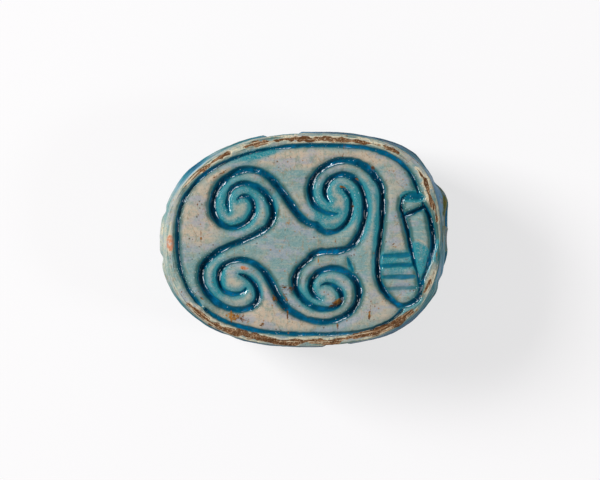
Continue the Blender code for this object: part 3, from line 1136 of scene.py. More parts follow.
@dataclass
class NodeBook:
    """The nodes of one material, added in the order of the recipe."""

    tree: bpy.types.NodeTree
    shader: bpy.types.Node
    seen: dict[str, Node] = field(default_factory=dict)

    @classmethod
    def of(cls, material: bpy.types.Material) -> "NodeBook":
        """The book of a new material with its Principled shader."""
        material.use_nodes = True
        return cls(material.node_tree, material.node_tree.nodes["Principled BSDF"])

    def add(self, kind: str, settings: dict[str, Any], values: list[Any] | dict[str | int, Any],
            output: str | int = 0) -> Node:
        """Adds one node.

        Args:
            kind: The node's type.
            settings: Its properties, set before its sockets.
            values: Numbers, colours or links for its sockets, in order or by name or number.
            output: Which output to hand on.

        Returns:
            The wrapped output.
        """
        node = self.tree.nodes.new(kind)
        for name, setting in settings.items():
            setattr(node, name, setting)
        for key, value in values.items() if isinstance(values, dict) else enumerate(values):
            self.fill(node.inputs[key], value)
        return Node(self, node.outputs[output])

    def fill(self, socket: bpy.types.NodeSocket, value: Any) -> None:
        """Gives a socket a link or a constant.

        Args:
            socket: The socket.
            value: A node, number or colour.
        """
        if isinstance(value, Node):
            self.tree.links.new(value.socket, socket)
        else:
            socket.default_value = value

    def feed(self, name: str, value: Any) -> None:
        """Gives one of the shader's sockets a link or a constant."""
        self.fill(self.shader.inputs[name], value)

    def mix(self, share: Any, first: Any, second: Any) -> Node:
        """A colour between two colours."""
        return self.add("ShaderNodeMix", {"data_type": "RGBA"}, {0: share, 6: first, 7: second}, 2)

    def layers(self, colour: Any, coats: list[tuple[Node, Any]]) -> Any:
        """Lays coats over a colour in order, each given as its share and its colour.

        Args:
            colour: The colour below.
            coats: Share and colour of each coat.

        Returns:
            The colour with its coats.
        """
        for share, coat in coats:
            colour = self.mix(share, colour, coat)
        return colour

    def attribute(self, name: str) -> Node:
        """A named attribute of the mesh.

        Args:
            name: Its name.

        Returns:
            Its value.
        """
        if name not in self.seen:
            self.seen[name] = self.add("ShaderNodeAttribute", {"attribute_name": name}, {}, "Fac")
        return self.seen[name]

    def place(self, operation: str, scale: tuple[float, ...], *moved: Node) -> Node:
        """Position on the object in metres, multiplied by a scale, and moved if the operation adds.

        Args:
            operation: What the node does.
            scale: The scale on each axis.
            moved: What to add.

        Returns:
            The placed position.
        """
        if "place" not in self.seen:
            self.seen["place"] = self.add("ShaderNodeTexCoord", {}, {}, "Object")
        return self.add("ShaderNodeVectorMath", {"operation": operation}, [self.seen["place"], scale, *moved], "Vector")

    def spread(self, size: float, stretch: tuple[float, ...]) -> Node:
        """Position in lumps of the given size in metres, drawn out along the axes."""
        return self.place("MULTIPLY", tuple(1.0 / (size * axis) for axis in stretch))

    def noise(self, size: float, detail: float = 3.0, roughness: float = 0.55,
              stretch: tuple[float, ...] = (1, 1, 1)) -> Node:
        """Soft noise whose lumps have the given size in metres, centred on 0.5."""
        return self.add("ShaderNodeTexNoise", {}, {
            "Vector": self.spread(size, stretch), "Scale": 1.0, "Detail": detail, "Roughness": roughness}, "Fac")

    def streaks(self, size: float, length: float) -> Node:
        """Noise drawn out along the rim, whose lumps have the given size across it and length along it.

        Args:
            size: Size across the rim, in metres.
            length: Size along the rim, in metres.

        Returns:
            The noise.
        """
        level = self.add("ShaderNodeCombineXYZ", {}, [0.0, 0.0, self.attribute("course") * (COURSE_SPAN / size)])
        placed = self.place("MULTIPLY_ADD", (1.0 / length, 1.0 / length, 0.0), level)
        return self.add("ShaderNodeTexNoise", {}, {
            "Vector": placed, "Scale": 1.0, "Detail": 3.0, "Roughness": 0.6}, "Fac")

    def cells(self, size: float, feature: str, stretch: tuple[float, ...] = (1, 1, 1)) -> Node:
        """Distance within cells of the given size, to a cell's middle or to its edge."""
        return self.add("ShaderNodeTexVoronoi", {"feature": feature}, {
            "Vector": self.spread(size, stretch), "Scale": 1.0}, "Distance")


@dataclass
class Grains:
    """The glaze's noises, from the broadest to the finest, and the two drawn out along the rim."""

    cloud: Node
    drift: Node
    mottle: Node
    fleck: Node
    grit: Node
    course: Node
    thread: Node

    @classmethod
    def of(cls, book: NodeBook) -> "Grains":
        """Adds the noises.

        Args:
            book: The glaze's nodes.

        Returns:
            The noises.
        """
        return cls(
            cloud=book.noise(1.5 * MM, 4.0),
            drift=book.noise(0.9 * MM, 3.0, 0.5, (1.6, 0.8, 1.0)),
            mottle=book.noise(0.45 * MM, 4.0, 0.62),
            fleck=book.noise(0.13 * MM, 3.0, 0.65),
            grit=book.noise(0.09 * MM, 2.0, 0.7),
            course=book.streaks(0.17 * MM, 2.6 * MM),
            thread=book.streaks(0.1 * MM, 1.6 * MM),
        )


def rgb(red: int, green: int, blue: int) -> tuple[float, float, float, float]:
    """A colour read off a screen, in linear light."""
    linear = [((c / 255 + 0.055) / 1.055) ** 2.4 if c > 10 else c / 255 / 12.92 for c in (red, green, blue)]
    return (*linear, 1.0)


@dataclass(frozen=True)
class GlazeFinish:
    """Blue-green glaze over pale stone: thin and cloudy on the flats, dark where it pooled."""

    cool: tuple = rgb(110, 142, 142)
    lavender: tuple = rgb(144, 148, 160)
    warm: tuple = rgb(182, 163, 142)
    terracotta: tuple = rgb(190, 122, 88)
    sage: tuple = rgb(112, 134, 120)
    pale: tuple = rgb(172, 174, 156)
    # Painted highlight colour of the glints and sparkles in the lines.
    painted_highlight: tuple = rgb(222, 236, 242)
    green: tuple = rgb(24, 82, 82)
    sky: tuple = rgb(104, 144, 172)
    teal: tuple = rgb(42, 124, 134)
    shallow: tuple = rgb(14, 102, 112)
    blue: tuple = rgb(3, 80, 108)
    bright: tuple = rgb(5, 100, 140)
    dusk: tuple = rgb(20, 60, 66)
    ink: tuple = rgb(1, 30, 52)
    stone: tuple = rgb(142, 108, 78)
    cream: tuple = rgb(206, 194, 166)
    soil: tuple = rgb(84, 54, 32)
    rust: tuple = rgb(150, 102, 44)
    olive: tuple = rgb(82, 90, 34)
    flat_roughness: float = 0.75
    pool_roughness: float = 0.12
    worn_roughness: float = 0.9
    coat_roughness: float = 0.04
    thin_coat: float = 0.05
    thick_coat: float = 0.85
    grain_height: float = 0.04 * MM

    def ground(self, book: NodeBook, grains: Grains) -> Node:
        """Thin, cloudy glaze on the flats, with its hair lines and specks.

        Args:
            book: The glaze's nodes.
            grains: The glaze's noises.

        Returns:
            The colour.
        """
        warm, pale = book.attribute("warm"), book.attribute("pale")
        patch = book.noise(0.24 * MM, 3.0, 0.6)
        scratch = book.noise(0.4 * MM, 3.0, 0.6, (3.0, 0.35, 1.0))
        hair = book.cells(1.3 * MM, "DISTANCE_TO_EDGE", (0.5, 1.5, 1.0)).step(0.03, 0.0)
        specks = book.cells(0.34 * MM, "F1").step(0.2, 0.13) * grains.drift.step(0.44, 0.56)
        return book.layers(self.cool, [
            ((warm + (grains.cloud - 0.5) * 1.1 + (grains.mottle - 0.5) * 0.6).step(0.1, 0.95), self.warm),
            (grains.drift.step(0.46, 0.62) * 0.7, self.lavender),
            (grains.mottle.step(0.5, 0.64) * 0.55, self.sage),
            (patch.step(0.5, 0.66) * 0.4, self.cool),
            (scratch.step(0.5, 0.68) * 0.35, self.warm),
            (pale * grains.mottle.step(0.3, 0.6) * 0.8, self.pale),
            (pale.step(0.9, 1.3) * grains.fleck.step(0.36, 0.5), self.cream),
            (hair * grains.mottle.step(0.45, 0.55) * 0.6, self.stone),
            (specks * 0.8, book.mix(grains.cloud.step(0.48, 0.52), self.soil, self.rust)),
        ])

    def zoned(self, book: NodeBook, grains: Grains) -> Node:
        """The ground with its turquoise places, the flank's colours and the layers of the rim.

        Args:
            book: The glaze's nodes.
            grains: The glaze's noises.

        Returns:
            The colour.
        """
        rim, teal = book.attribute("rim"), book.attribute("teal")
        ragged = (grains.mottle - 0.5) * 0.5 + (grains.cloud - 0.5) * 0.6
        fine = book.noise(0.07 * MM, 2.0, 0.7)
        baked = book.attribute("warm").step(1.36, 1.5) * (grains.mottle * 0.6 + grains.fleck * 0.4).step(0.36, 0.5)
        return book.layers(self.ground(book, grains), [
            (teal.frayed(ragged, 0.02, 0.4).step(0.1, 0.95), self.teal),
            (grains.fleck.step(0.52, 0.68) * 0.4, self.pale),
            (grains.fleck.step(0.46, 0.32) * 0.3, self.green),
            (fine.step(0.52, 0.64) * 0.25, self.pale),
            (book.attribute("sky").step(0.1, 0.9), self.sky),
            (book.attribute("dusk").step(0.2, 0.9), self.dusk),
            (rim * grains.course.step(0.52, 0.64) * 0.7, self.green),
            (rim * grains.course.step(0.46, 0.34) * 0.4, self.lavender),
            (rim * grains.thread.step(0.55, 0.65) * 0.6, self.cream),
            (rim * grains.thread.step(0.41, 0.33) * 0.6, self.soil),
            (baked * 0.85, self.terracotta),
        ])

    def pooled(self, book: NodeBook, grains: Grains, colour: Node) -> Node:
        """The glaze in the lines and beside them, with the bits caught on their banks, and painted highlights: glints
        along their lower right banks and sparkles beside them.

        Args:
            book: The glaze's nodes.
            grains: The glaze's noises.
            colour: The colour so far.

        Returns:
            The colour with the lines.
        """
        pool, soft, across = (book.attribute(name) for name in ("pool", "soft", "across"))
        # Soft edge of the glaze, laid towards the upper left bank and heavier in upright strokes: partly thin glaze,
        # partly painted shade, shown dark green away from the turquoise places.
        haze = soft.frayed((grains.mottle - 0.5) * 0.5, 0.02, 0.35) + (
            (grains.fleck - 0.5) * 0.25 * soft.step(0.02, 0.2))
        lay = pool.frayed((grains.mottle - 0.5) * 0.3 + (grains.fleck - 0.5) * 0.15, 0.02, 0.4)
        core = book.layers(self.blue, [
            (grains.cloud.step(0.48, 0.64), self.bright),
            (grains.drift.step(0.49, 0.33) * 0.3, self.ink),
        ])
        banks = soft.step(0.15, 0.5) * soft.step(1.0, 0.85)
        crumbs = book.cells(0.19 * MM, "F1").step(0.22, 0.14) * banks * grains.cloud.step(0.46, 0.56)
        # Painted highlights: small pale dots beside the lines, standing in for sparkles off the glossy glaze.
        painted_sparkles = book.cells(0.17 * MM, "F1", (1.0, 1.3, 1.0)).step(0.2, 0.12) * banks * grains.cloud.step(0.52, 0.42)
        # Painted highlight: shore marks the lower right bank, which faces the key lamp at the upper left; glint paints
        # a thin broken pale line there, and edge a thin dark line on the same bank.
        shore = book.attribute("bank").step(0.18, 0.32)
        edge = shore * across.step(0.1, 0.25) * across.step(0.8, 0.65) * grains.drift.step(0.4, 0.5)
        glint = shore * across.step(0.33, 0.41) * across.step(0.6, 0.52)
        glint = glint * grains.drift.step(0.47, 0.52) * grains.fleck.step(0.4, 0.48)
        return book.layers(colour, [
            (haze.step(0.1, 0.95) * 0.82, book.mix(book.attribute("teal").step(0.1, 0.4), self.green, self.teal)),
            (lay.step(0.02, 0.36) * 0.85, self.shallow),
            (lay.step(0.3, 0.78), core),
            # The darkest glaze, reached mostly in strokes that run up and down: partly pooled glaze, partly painted
            # shade.
            (lay.step(0.84, 1.12) * 0.85, self.ink),
            (crumbs * 0.7, self.soil),
            (edge * 0.5, self.ink),
            (glint * 0.85, self.painted_highlight),
            (painted_sparkles * 0.42, self.painted_highlight),
        ])

    def stained(self, book: NodeBook, grains: Grains, colour: Node) -> Node:
        """The colour with its olive growth and rust stains.

        Args:
            book: The glaze's nodes.
            grains: The glaze's noises.
            colour: The colour so far.

        Returns:
            The colour with the stains.
        """
        ragged = (grains.mottle - 0.5) * 1.6
        moss = book.attribute("olive").frayed(ragged + (grains.cloud - 0.5) * 1.6, 0.0, 0.4)
        rust = book.attribute("stain").frayed(ragged + (grains.fleck - 0.5) * 2.6, 0.0, 0.3)
        return book.layers(colour, [
            (moss.step(0.3, 0.9), book.mix(grains.fleck.step(0.48, 0.38) * 0.6, self.olive, self.soil)),
            (rust.step(0.35, 0.95), book.mix(grains.mottle.step(0.44, 0.64), self.soil, self.rust)),
        ])

    def bare_stone(self, book: NodeBook, grains: Grains) -> Node:
        """The colour of the stone where the glaze is gone, with dirt and cream in its grain.

        Args:
            book: The glaze's nodes.
            grains: The glaze's noises.

        Returns:
            The colour.
        """
        dirt = (grains.grit * 0.22 + grains.thread * 0.43 + grains.mottle * 0.35).step(0.43, 0.55)
        return book.layers(self.stone, [
            (dirt * 0.92, self.soil),
            (grains.thread.step(0.42, 0.36) * 0.8, self.cream),
            (grains.grit.step(0.4, 0.34) * 0.6, self.cream),
        ])

    def material(self) -> bpy.types.Material:
        """Builds the glaze's nodes.

        Returns:
            The material.
        """
        material = bpy.data.materials.new("scarab_glaze")
        book = NodeBook.of(material)
        grains = Grains.of(book)
        gloss = book.attribute("gloss")
        colour = self.stained(book, grains, self.pooled(book, grains, self.zoned(book, grains)))
        bare = book.attribute("worn").frayed((grains.fleck - 0.5) * 0.7, 0.0, 0.25).step(0.3, 0.6)
        rough = self.flat_roughness - (self.flat_roughness - self.pool_roughness) * gloss.step(0.1, 0.8)
        grain = (grains.mottle - 0.5) * 0.5 + (grains.fleck - 0.5) * (0.4 + bare * 1.5) + (grains.grit - 0.5) * 0.5
        bump = book.add("ShaderNodeBump", {}, {
            "Strength": 1.0, "Distance": self.grain_height, "Height": grain}, "Normal")
        book.feed("Base Color", book.mix(bare, colour, self.bare_stone(book, grains)))
        book.feed("Roughness", rough + (self.worn_roughness - self.flat_roughness) * bare)
        book.feed("Coat Weight", (1.0 - bare) * (self.thin_coat + self.thick_coat * gloss))
        book.feed("Coat Roughness", self.coat_roughness)
        book.feed("Specular IOR Level", 0.0)
        book.feed("Normal", bump)
        return material


@dataclass
class Places:
    """Every point of the surface in the terms that the carving, the glaze and the wear go by.

    The inset is how far inside the face's outline a point lies and the depth how far below the
    face. The level follows the rim's layers inward and up. The rest are noises of the hand.
    """

    points: np.ndarray
    normals: np.ndarray
    on_face: np.ndarray
    on_side: np.ndarray
    on_back: np.ndarray
    in_bore: np.ndarray
    sheet: np.ndarray
    degrees: np.ndarray
    inset: np.ndarray
    depth: np.ndarray
    level: np.ndarray
    waver: np.ndarray
    lump: np.ndarray
    fine: np.ndarray
    pits: np.ndarray
    layers: np.ndarray

    @classmethod
    def of(cls, surface: Surface, form: StoneForm) -> "Places":
        """Works out the terms for a surface.

        Args:
            surface: The uncarved surface.
            form: The stone's form.

        Returns:
            The places.
        """
        points = surface.points
        on_face, on_side, on_back, in_bore = (surface.where == place.value for place in Where)
        degrees = np.degrees(np.arctan2(points[:, 1], points[:, 0]))
        inset = form.outline(np.radians(degrees), 0.0) - np.hypot(points[:, 0], points[:, 1])
        depth = form.height - points[:, 2]
        level = inset - 0.4 * depth
        layers = Grain(9)(np.column_stack([points[:, 0] / 9, points[:, 1] / 9, level]), 0.14 * MM)
        return cls(
            points=points, normals=surface.normals,
            on_face=on_face, on_side=on_side, on_back=on_back, in_bore=in_bore,
            sheet=form.on_sheet(points), degrees=degrees, inset=inset, depth=depth, level=level,
            waver=Grain(3)(points, 0.7 * MM) + 0.5 * Grain(4)(points, 0.25 * MM),
            lump=Grain(5)(points, 2.2 * MM) + 0.5 * Grain(6)(points, 0.8 * MM),
            fine=Grain(7)(points, 0.28 * MM),
            pits=Grain(8)(points, 0.16 * MM),
            layers=np.where(on_side | on_face, layers * smooth_step(0.55 * MM, 0.3 * MM, inset), 0.0),
        )


@dataclass
class Scarab:
    """The amulet itself: the stone's form, its carving, its wear and its glaze."""

    form: StoneForm = field(default_factory=StoneForm)
    finish: GlazeFinish = field(default_factory=GlazeFinish)
    hand_waver: float = 0.035 * MM
    hand_tremble: float = 0.025 * MM
    worn_depth: float = 0.8 * MM
    grain_depth: float = 0.012 * MM
    flank_wear: float = 0.02 * MM
    edge_rounding: float = 0.1 * MM

    def breaks(self) -> tuple[Break, ...]:
        """The two places where the edge between legs is gone.

        Returns:
            The breaks.
        """
        return (
            Break(-0.078 * self.form.length, 1.95 * MM, 0.3 * MM, 1, 0.2),
            Break(0.111 * self.form.length, 1.2 * MM, 0.28 * MM, -1, -0.2),
        )

    def nicks(self) -> list[Nick]:
        """Dents in the outline, and low swellings.

        Returns:
            The dents, and the swellings as dents of less than nothing.
        """
        return [
            Nick(168.5, 1.8, 0.13 * MM), Nick(187.6, 1.8, 0.15 * MM), Nick(-17.5, 2.4, 0.14 * MM),
            Nick(23.5, 1.6, 0.08 * MM), Nick(232.0, 2.5, 0.06 * MM), Nick(16.5, 5.0, -0.36 * MM),
            Nick(40.0, 7.0, -0.17 * MM), Nick(148.0, 9.0, -0.12 * MM), Nick(-20.0, 9.0, -0.2 * MM),
            Nick(-42.0, 12.0, -0.16 * MM),
        ]

    def flank(self) -> list[Stretch]:
        """How the glaze differs round the flank, seen from above as a rim beyond the engraved face, with one stretch of
        painted light.

        Returns:
            The stretches.
        """
        return [
            Stretch(Tint.TURQUOISE, 40.0, 50.0, 1.2),
            Stretch(Tint.TURQUOISE, 125.0, 32.0, 1.0),
            Stretch(Tint.TURQUOISE, -16.0, 34.0, 1.4, 0.0),
            Stretch(Tint.TURQUOISE, 168.0, 7.0, 0.55),
            Stretch(Tint.TURQUOISE, 200.0, 10.0, 0.35),
            Stretch(Tint.TURQUOISE, 250.0, 50.0, 0.45),
            Stretch(Tint.SKY, 20.0, 24.0, 1.1, 0.1 * MM, 2.2 * MM),
            Stretch(Tint.SKY, 146.0, 14.0, 0.7, 0.1 * MM, 2.2 * MM),
            # Painted light: a paler blue on the head end's lower flank, which faces away from the key lamp.
            Stretch(Tint.SKY, -12.0, 9.0, 0.6, 0.1 * MM, 2.2 * MM),
            Stretch(Tint.SKY, -36.0, 10.0, 0.6, 0.1 * MM, 2.2 * MM),
            Stretch(Tint.POOLED, 146.0, 9.0, 0.5, 0.35 * MM),
            Stretch(Tint.DUSK, 114.0, 26.0, 0.9, 0.25 * MM, 2.7 * MM),
            Stretch(Tint.DUSK, 76.0, 20.0, 1.0, 0.2 * MM, 2.7 * MM),
            Stretch(Tint.POOLED, 48.0, 14.0, 0.4, 0.5 * MM),
            Stretch(Tint.DUSK, -56.0, 20.0, 0.85, 0.6 * MM, 2.7 * MM),
            Stretch(Tint.DUSK, 262.0, 30.0, 1.2, 0.18 * MM, 2.7 * MM),
            Stretch(Tint.DUSK, 222.0, 22.0, 0.9, 0.35 * MM, 2.7 * MM),
            Stretch(Tint.PALE, 181.0, 17.0, 0.9),
            Stretch(Tint.PALE, 156.0, 5.0, 0.8),
            Stretch(Tint.OLIVE, 14.5, 7.5, 1.3, 0.8 * MM, 3.6 * MM),
            Stretch(Tint.OLIVE, 3.0, 7.0, 0.9, 1.3 * MM, 2.8 * MM),
            Stretch(Tint.RUBBED, 101.5, 5.0, 0.75, 0.1 * MM, 0.9 * MM),
            Stretch(Tint.RUBBED, 285.5, 4.0, 0.8, 0.05 * MM, 0.9 * MM),
        ]

    def rubbed(self) -> list[Streak]:
        """Where the glaze is rubbed off the rim, down to brown stone.

        Returns:
            The streaks.
        """
        return [
            Streak(((-7.88, 3.41), (-7.49, 3.87), (-6.96, 4.36)), (0.12, 0.18, 0.16), 0.75),
            Streak(((-6.96, 4.36), (-5.97, 5.05), (-4.99, 5.69)), (0.2, 0.28, 0.22)),
            Streak(((-3.95, 6.02), (-3.47, 6.16), (-2.64, 6.36), (-1.43, 6.52)), (0.14, 0.34, 0.42, 0.2), 0.85),
            Streak(((-1.43, 6.56), (-0.55, 6.56), (0.64, 6.55), (2.05, 6.53), (3.04, 6.47), (4.03, 6.33),
                    (4.95, 6.18)), (0.14, 0.2, 0.24, 0.34, 0.28, 0.24, 0.14)),
            Streak(((5.08, 6.22), (5.67, 5.94), (6.2, 5.68)), (0.16, 0.28, 0.2)),
            Streak(((7.38, 4.59), (7.78, 4.07), (8.04, 3.47)), (0.12, 0.26, 0.22)),
            Streak(((8.04, 3.47), (8.27, 2.75), (8.6, 1.7), (8.68, 1.24)), (0.16, 0.3, 0.3, 0.16), 0.95),
            Streak(((8.48, -2.2), (8.16, -2.95), (7.84, -3.5)), (0.02, 0.22, 0.06), 0.85),
            Streak(((7.12, -4.55), (6.62, -5.0), (6.03, -5.48), (5.14, -5.88), (4.22, -6.14)),
                   (0.16, 0.4, 0.5, 0.36, 0.28)),
            Streak(((4.22, -6.14), (3.17, -6.4), (2.18, -6.62), (1.49, -6.86)), (0.28, 0.3, 0.22, 0.26), 0.95),
            Streak(((1.3, -6.74), (0.6, -6.66), (0.01, -6.69), (-0.91, -6.8), (-1.57, -6.72), (-2.55, -6.52),
                    (-3.54, -6.34), (-4.53, -6.04), (-5.51, -5.8)),
                   (0.3, 0.42, 0.28, 0.22, 0.34, 0.42, 0.36, 0.4, 0.28), 0.9),
            Streak(((-5.51, -5.8), (-6.17, -5.45), (-6.83, -4.86), (-7.16, -4.6), (-7.68, -4.29)),
                   (0.24, 0.3, 0.34, 0.3, 0.12), 0.95),
        ]

    def cracks(self) -> list[Streak]:
        """Hair cracks and scratches with dirt in them.

        Returns:
            The streaks.
        """
        return [
            Streak(((-1.11, -4.68), (-1.08, -5.4), (-1.04, -6.13)), (0.07, 0.1), 0.8, 0.05),
            Streak(((2.18, -5.34), (2.18, -6.13)), (0.08, 0.05), 0.8, 0.05),
            Streak(((4.36, -4.0), (4.32, -4.6), (4.2, -5.21)), (0.04, 0.07), 0.7, 0.05),
            Streak(((-6.76, 0.78), (-6.76, -0.47)), (0.06, 0.04), 0.6, 0.05),
            Streak(((-4.79, -4.72), (-4.79, -5.44)), (0.1, 0.08), 1.0, 0.04),
            Streak(((-0.91, 5.84), (-0.88, 4.6), (-0.84, 3.47)), (0.05, 0.04), 0.5, 0.05),
            Streak(((2.58, 6.3), (2.51, 5.18)), (0.07, 0.05), 0.55, 0.05),
            Streak(((-0.98, 1.6), (-1.05, 0.3), (-1.0, -1.2)), (0.03, 0.06, 0.03), 0.5, 0.05),
            Streak(((2.02, 0.0), (2.1, -0.6)), (0.06, 0.05), 0.6, 0.05),
            Streak(((-3.3, -5.0), (-2.2, -4.7), (-1.3, -4.55)), (0.03, 0.06, 0.03), 0.5, 0.05),
            Streak(((4.5, -5.45), (4.6, -5.15), (4.35, -5.0), (4.2, -5.3), (4.5, -5.45)), (0.05, 0.05), 0.7, 0.05),
            Streak(((5.7, -0.45), (6.0, -0.15), (6.3, -0.3), (6.0, -0.5), (5.7, -0.45)), (0.05, 0.05), 0.6, 0.05),
            Streak(((-6.2, 3.85), (-5.1, 4.5)), (0.05, 0.09), 0.6, 0.05),
            Streak(((-7.0, 2.9), (-6.98, 1.5)), (0.04, 0.05), 0.5, 0.05),
            Streak(((-5.3, -0.6), (-2.4, 0.2)), (0.03, 0.04), 0.35, 0.05),
            Streak(((0.9, -1.6), (0.95, -0.5)), (0.03, 0.04), 0.4, 0.05),
        ]

    def stains(self) -> list[Spot]:
        """Rust-brown stains and dark specks on the engraved face.

        Returns:
            The spots.
        """
        return [
            Spot((-4.35, -5.12), (0.75, 0.26), -15, 0.8),
            Spot((-2.78, -5.6), (0.2, 0.14), 20, 0.8),
            Spot((-1.96, -3.9), (0.13, 0.3), 30, 0.85),
            Spot((-1.11, -3.2), (0.5, 0.26), -10, 0.85),
            Spot((-1.2, -3.85), (0.1, 0.45), 25, 0.7),
            Spot((2.1, -4.15), (0.52, 0.16), 32, 1.0),
            Spot((4.49, 4.66), (0.17, 0.14), -20, 1.0),
            Spot((2.5, 3.42), (0.2, 0.08), -15, 1.0),
            Spot((3.45, 3.95), (0.16, 0.08), -25, 0.8),
            Spot((3.15, 2.16), (0.14, 0.08), 0, 0.9),
            Spot((-6.7, -3.83), (0.2, 0.1), -40, 0.85),
            Spot((6.05, 0.96), (0.1, 0.07), 0, 0.8),
            Spot((4.55, -0.9), (0.09, 0.07), 0, 0.8),
            Spot((-3.97, -1.85), (0.22, 0.12), -10, 0.55),
            Spot((-0.9, -1.9), (0.12, 0.12), 0, 0.4),
            Spot((-2.6, 1.5), (0.05, 0.05), 0, 1.0),
            Spot((-2.75, 1.75), (0.05, 0.05), 0, 1.0),
            Spot((-2.45, 0.15), (0.06, 0.05), 0, 0.9),
            Spot((-1.25, 0.6), (0.06, 0.06), 0, 0.8),
            Spot((-6.04, -2.78), (0.05, 0.05), 0, 1.0),
            Spot((6.85, -2.95), (0.08, 0.05), 0, 0.9),
            Spot((2.8, 6.83), (0.12, 0.12), 0, 1.0),
        ]

    def turquoise(self) -> list[Spot]:
        """Where the glaze lies thicker between the lines, inside the scrolls and beside the cobra.

        Returns:
            The spots.
        """
        return [
            Spot((-4.15, 2.2), (1.8, 1.8), 0, 0.7, 0.3),
            Spot((2.1, 2.3), (1.8, 1.7), 0, 0.85, 0.3),
            Spot((4.2, 1.7), (0.85, 2.4), 5, 0.75, 0.4),
            Spot((-5.6, -2.5), (0.7, 1.5), 0, 0.7, 0.5),
            Spot((-4.0, -3.0), (1.4, 1.4), 0, 0.5, 0.5),
            Spot((0.6, -3.9), (1.2, 1.0), -40, 0.6, 0.5),
            Spot((1.9, -2.9), (1.2, 1.1), 0, 0.45, 0.5),
            Spot((7.6, -1.2), (0.6, 1.1), 10, 1.3, 0.2),
            Spot((8.95, -1.0), (0.5, 1.0), 0, 1.2, 0.3),
            Spot((8.6, -3.6), (0.9, 0.5), 55, 1.1, 0.4),
            Spot((7.05, 2.8), (0.75, 0.38), -6, 1.1, 0.25),
            Spot((-3.1, 5.45), (1.25, 0.34), 16, 1.3, 1.0),
            Spot((-6.9, -0.1), (0.8, 1.0), 0, 0.25, 0.6),
            Spot((6.0, -1.5), (1.1, 0.9), 0, 0.6, 0.5),
            Spot((-1.9, 2.4), (0.35, 0.9), -15, 0.4, 0.6),
            Spot((3.0, -1.75), (0.16, 0.5), 20, 0.7, 0.4),
            Spot((4.4, -1.6), (0.3, 1.4), 0, 0.3, 0.6),
            Spot((7.0, -4.4), (0.9, 0.35), 30, 0.6, 0.5),
        ]

    def warmth(self) -> list[Spot]:
        """Where the thin glaze looks beige rather than blue-grey.

        Returns:
            The spots.
        """
        return [
            Spot((-6.9, 1.6), (1.6, 2.2), 0, 0.7),
            Spot((1.2, 5.25), (5.0, 0.6), 0, 0.7),
            Spot((-5.6, 4.2), (0.85, 0.2), 30, 1.05),
            Spot((-2.5, -5.2), (4.5, 0.9), 0, 0.7),
            Spot((-2.6, -4.0), (0.8, 0.9), 0, 0.6),
            Spot((5.6, 3.2), (0.9, 2.0), -15, 0.4),
            Spot((-8.77, -0.25), (0.26, 0.55), 0, 2.4, 0.3),
            Spot((-3.95, -1.88), (0.28, 0.16), -10, 2.0, 0.4),
            Spot((8.15, -2.95), (0.85, 0.24), 59, 0.8, 0.4),
            Spot((6.0, 0.3), (0.8, 1.0), 0, 0.35),
            Spot((4.3, -4.5), (1.8, 1.6), 0, 0.45),
            Spot((-0.6, 2.2), (1.0, 1.2), 0, 0.35),
        ]

    def carved(self, surface: Surface, at: Places) -> Traces:
        """What all the lines do together at every place.

        Args:
            surface: The uncarved surface.
            at: The places.

        Returns:
            The lines' traces.
        """
        waver = self.hand_waver * at.waver + self.hand_tremble * at.fine
        total = Traces.blank(len(surface.points))
        for place, lines in Engraving(self.form).by_place().items():
            chosen = np.nonzero(surface.where == place.value)[0]
            for line in lines:
                total.add(chosen, line.traces(surface.points[chosen], waver[chosen]))
        return total

    def headward(self, at: Places) -> np.ndarray:
        """How near to the head each place lies, going round the flank."""
        return smooth_step(45.0, 20.0, np.abs(at.degrees - 4.0))

    def seams(self, at: Places) -> np.ndarray:
        """How thick the glaze lies in the groove under the plate and in the hollow of the waist.

        Args:
            at: The places.

        Returns:
            The share at each place, from 0.
        """
        form = self.form
        groove = 1 - smooth_step(0.2 * MM, 0.5 * MM, np.abs(at.depth - form.plate - 0.6 * form.plate_groove))
        groove = np.maximum(groove, 0.75 * smooth_step(0.25 * MM, 0.5 * MM, at.depth) * (at.depth < form.plate))
        hollow = np.exp(-(((at.depth - form.edge_depth() + 0.5 * form.waist) / (0.24 * MM)) ** 2))
        tailward = smooth_step(0.1, -0.7, at.points[:, 0] / (form.length / 2))
        return np.maximum(groove * (1 - 0.92 * tailward) * (1 - 0.9 * self.headward(at)), hollow)

    def glazed(self, at: Places, lines: Traces) -> dict[str, np.ndarray]:
        """How the glaze lies, with painted shade on the flank that faces away from the light.

        Args:
            at: The places.
            lines: What the carved lines do there.

        Returns:
            The attributes that the glaze's nodes read, but for those of the wear.
        """
        form = self.form
        turquoise = at.on_face * strongest(self.turquoise(), at.sheet) * (1 + 0.35 * at.waver)
        between = turquoise * (1 - lines.beside)
        teal = np.where(at.on_back, 0.6 + 0.25 * at.lump, turquoise * (0.4 + 0.8 * lines.beside))

        seams = self.seams(at)
        # Painted shade: glaze laid deeper on the flank towards negative y, which faces away from the light from the
        # upper left.
        painted_shade_flank = smooth_step(-0.3, -0.8, at.points[:, 1] / (form.width / 2)) * (at.depth > form.plate)
        side_pool_and_shade = np.maximum.reduce([lines.pool, seams, painted_shade_flank * (0.55 + 0.3 * at.waver)])
        side_rim = (0.6 + 0.4 * self.headward(at)) * smooth_step(2.6 * MM, 1.4 * MM, at.depth)

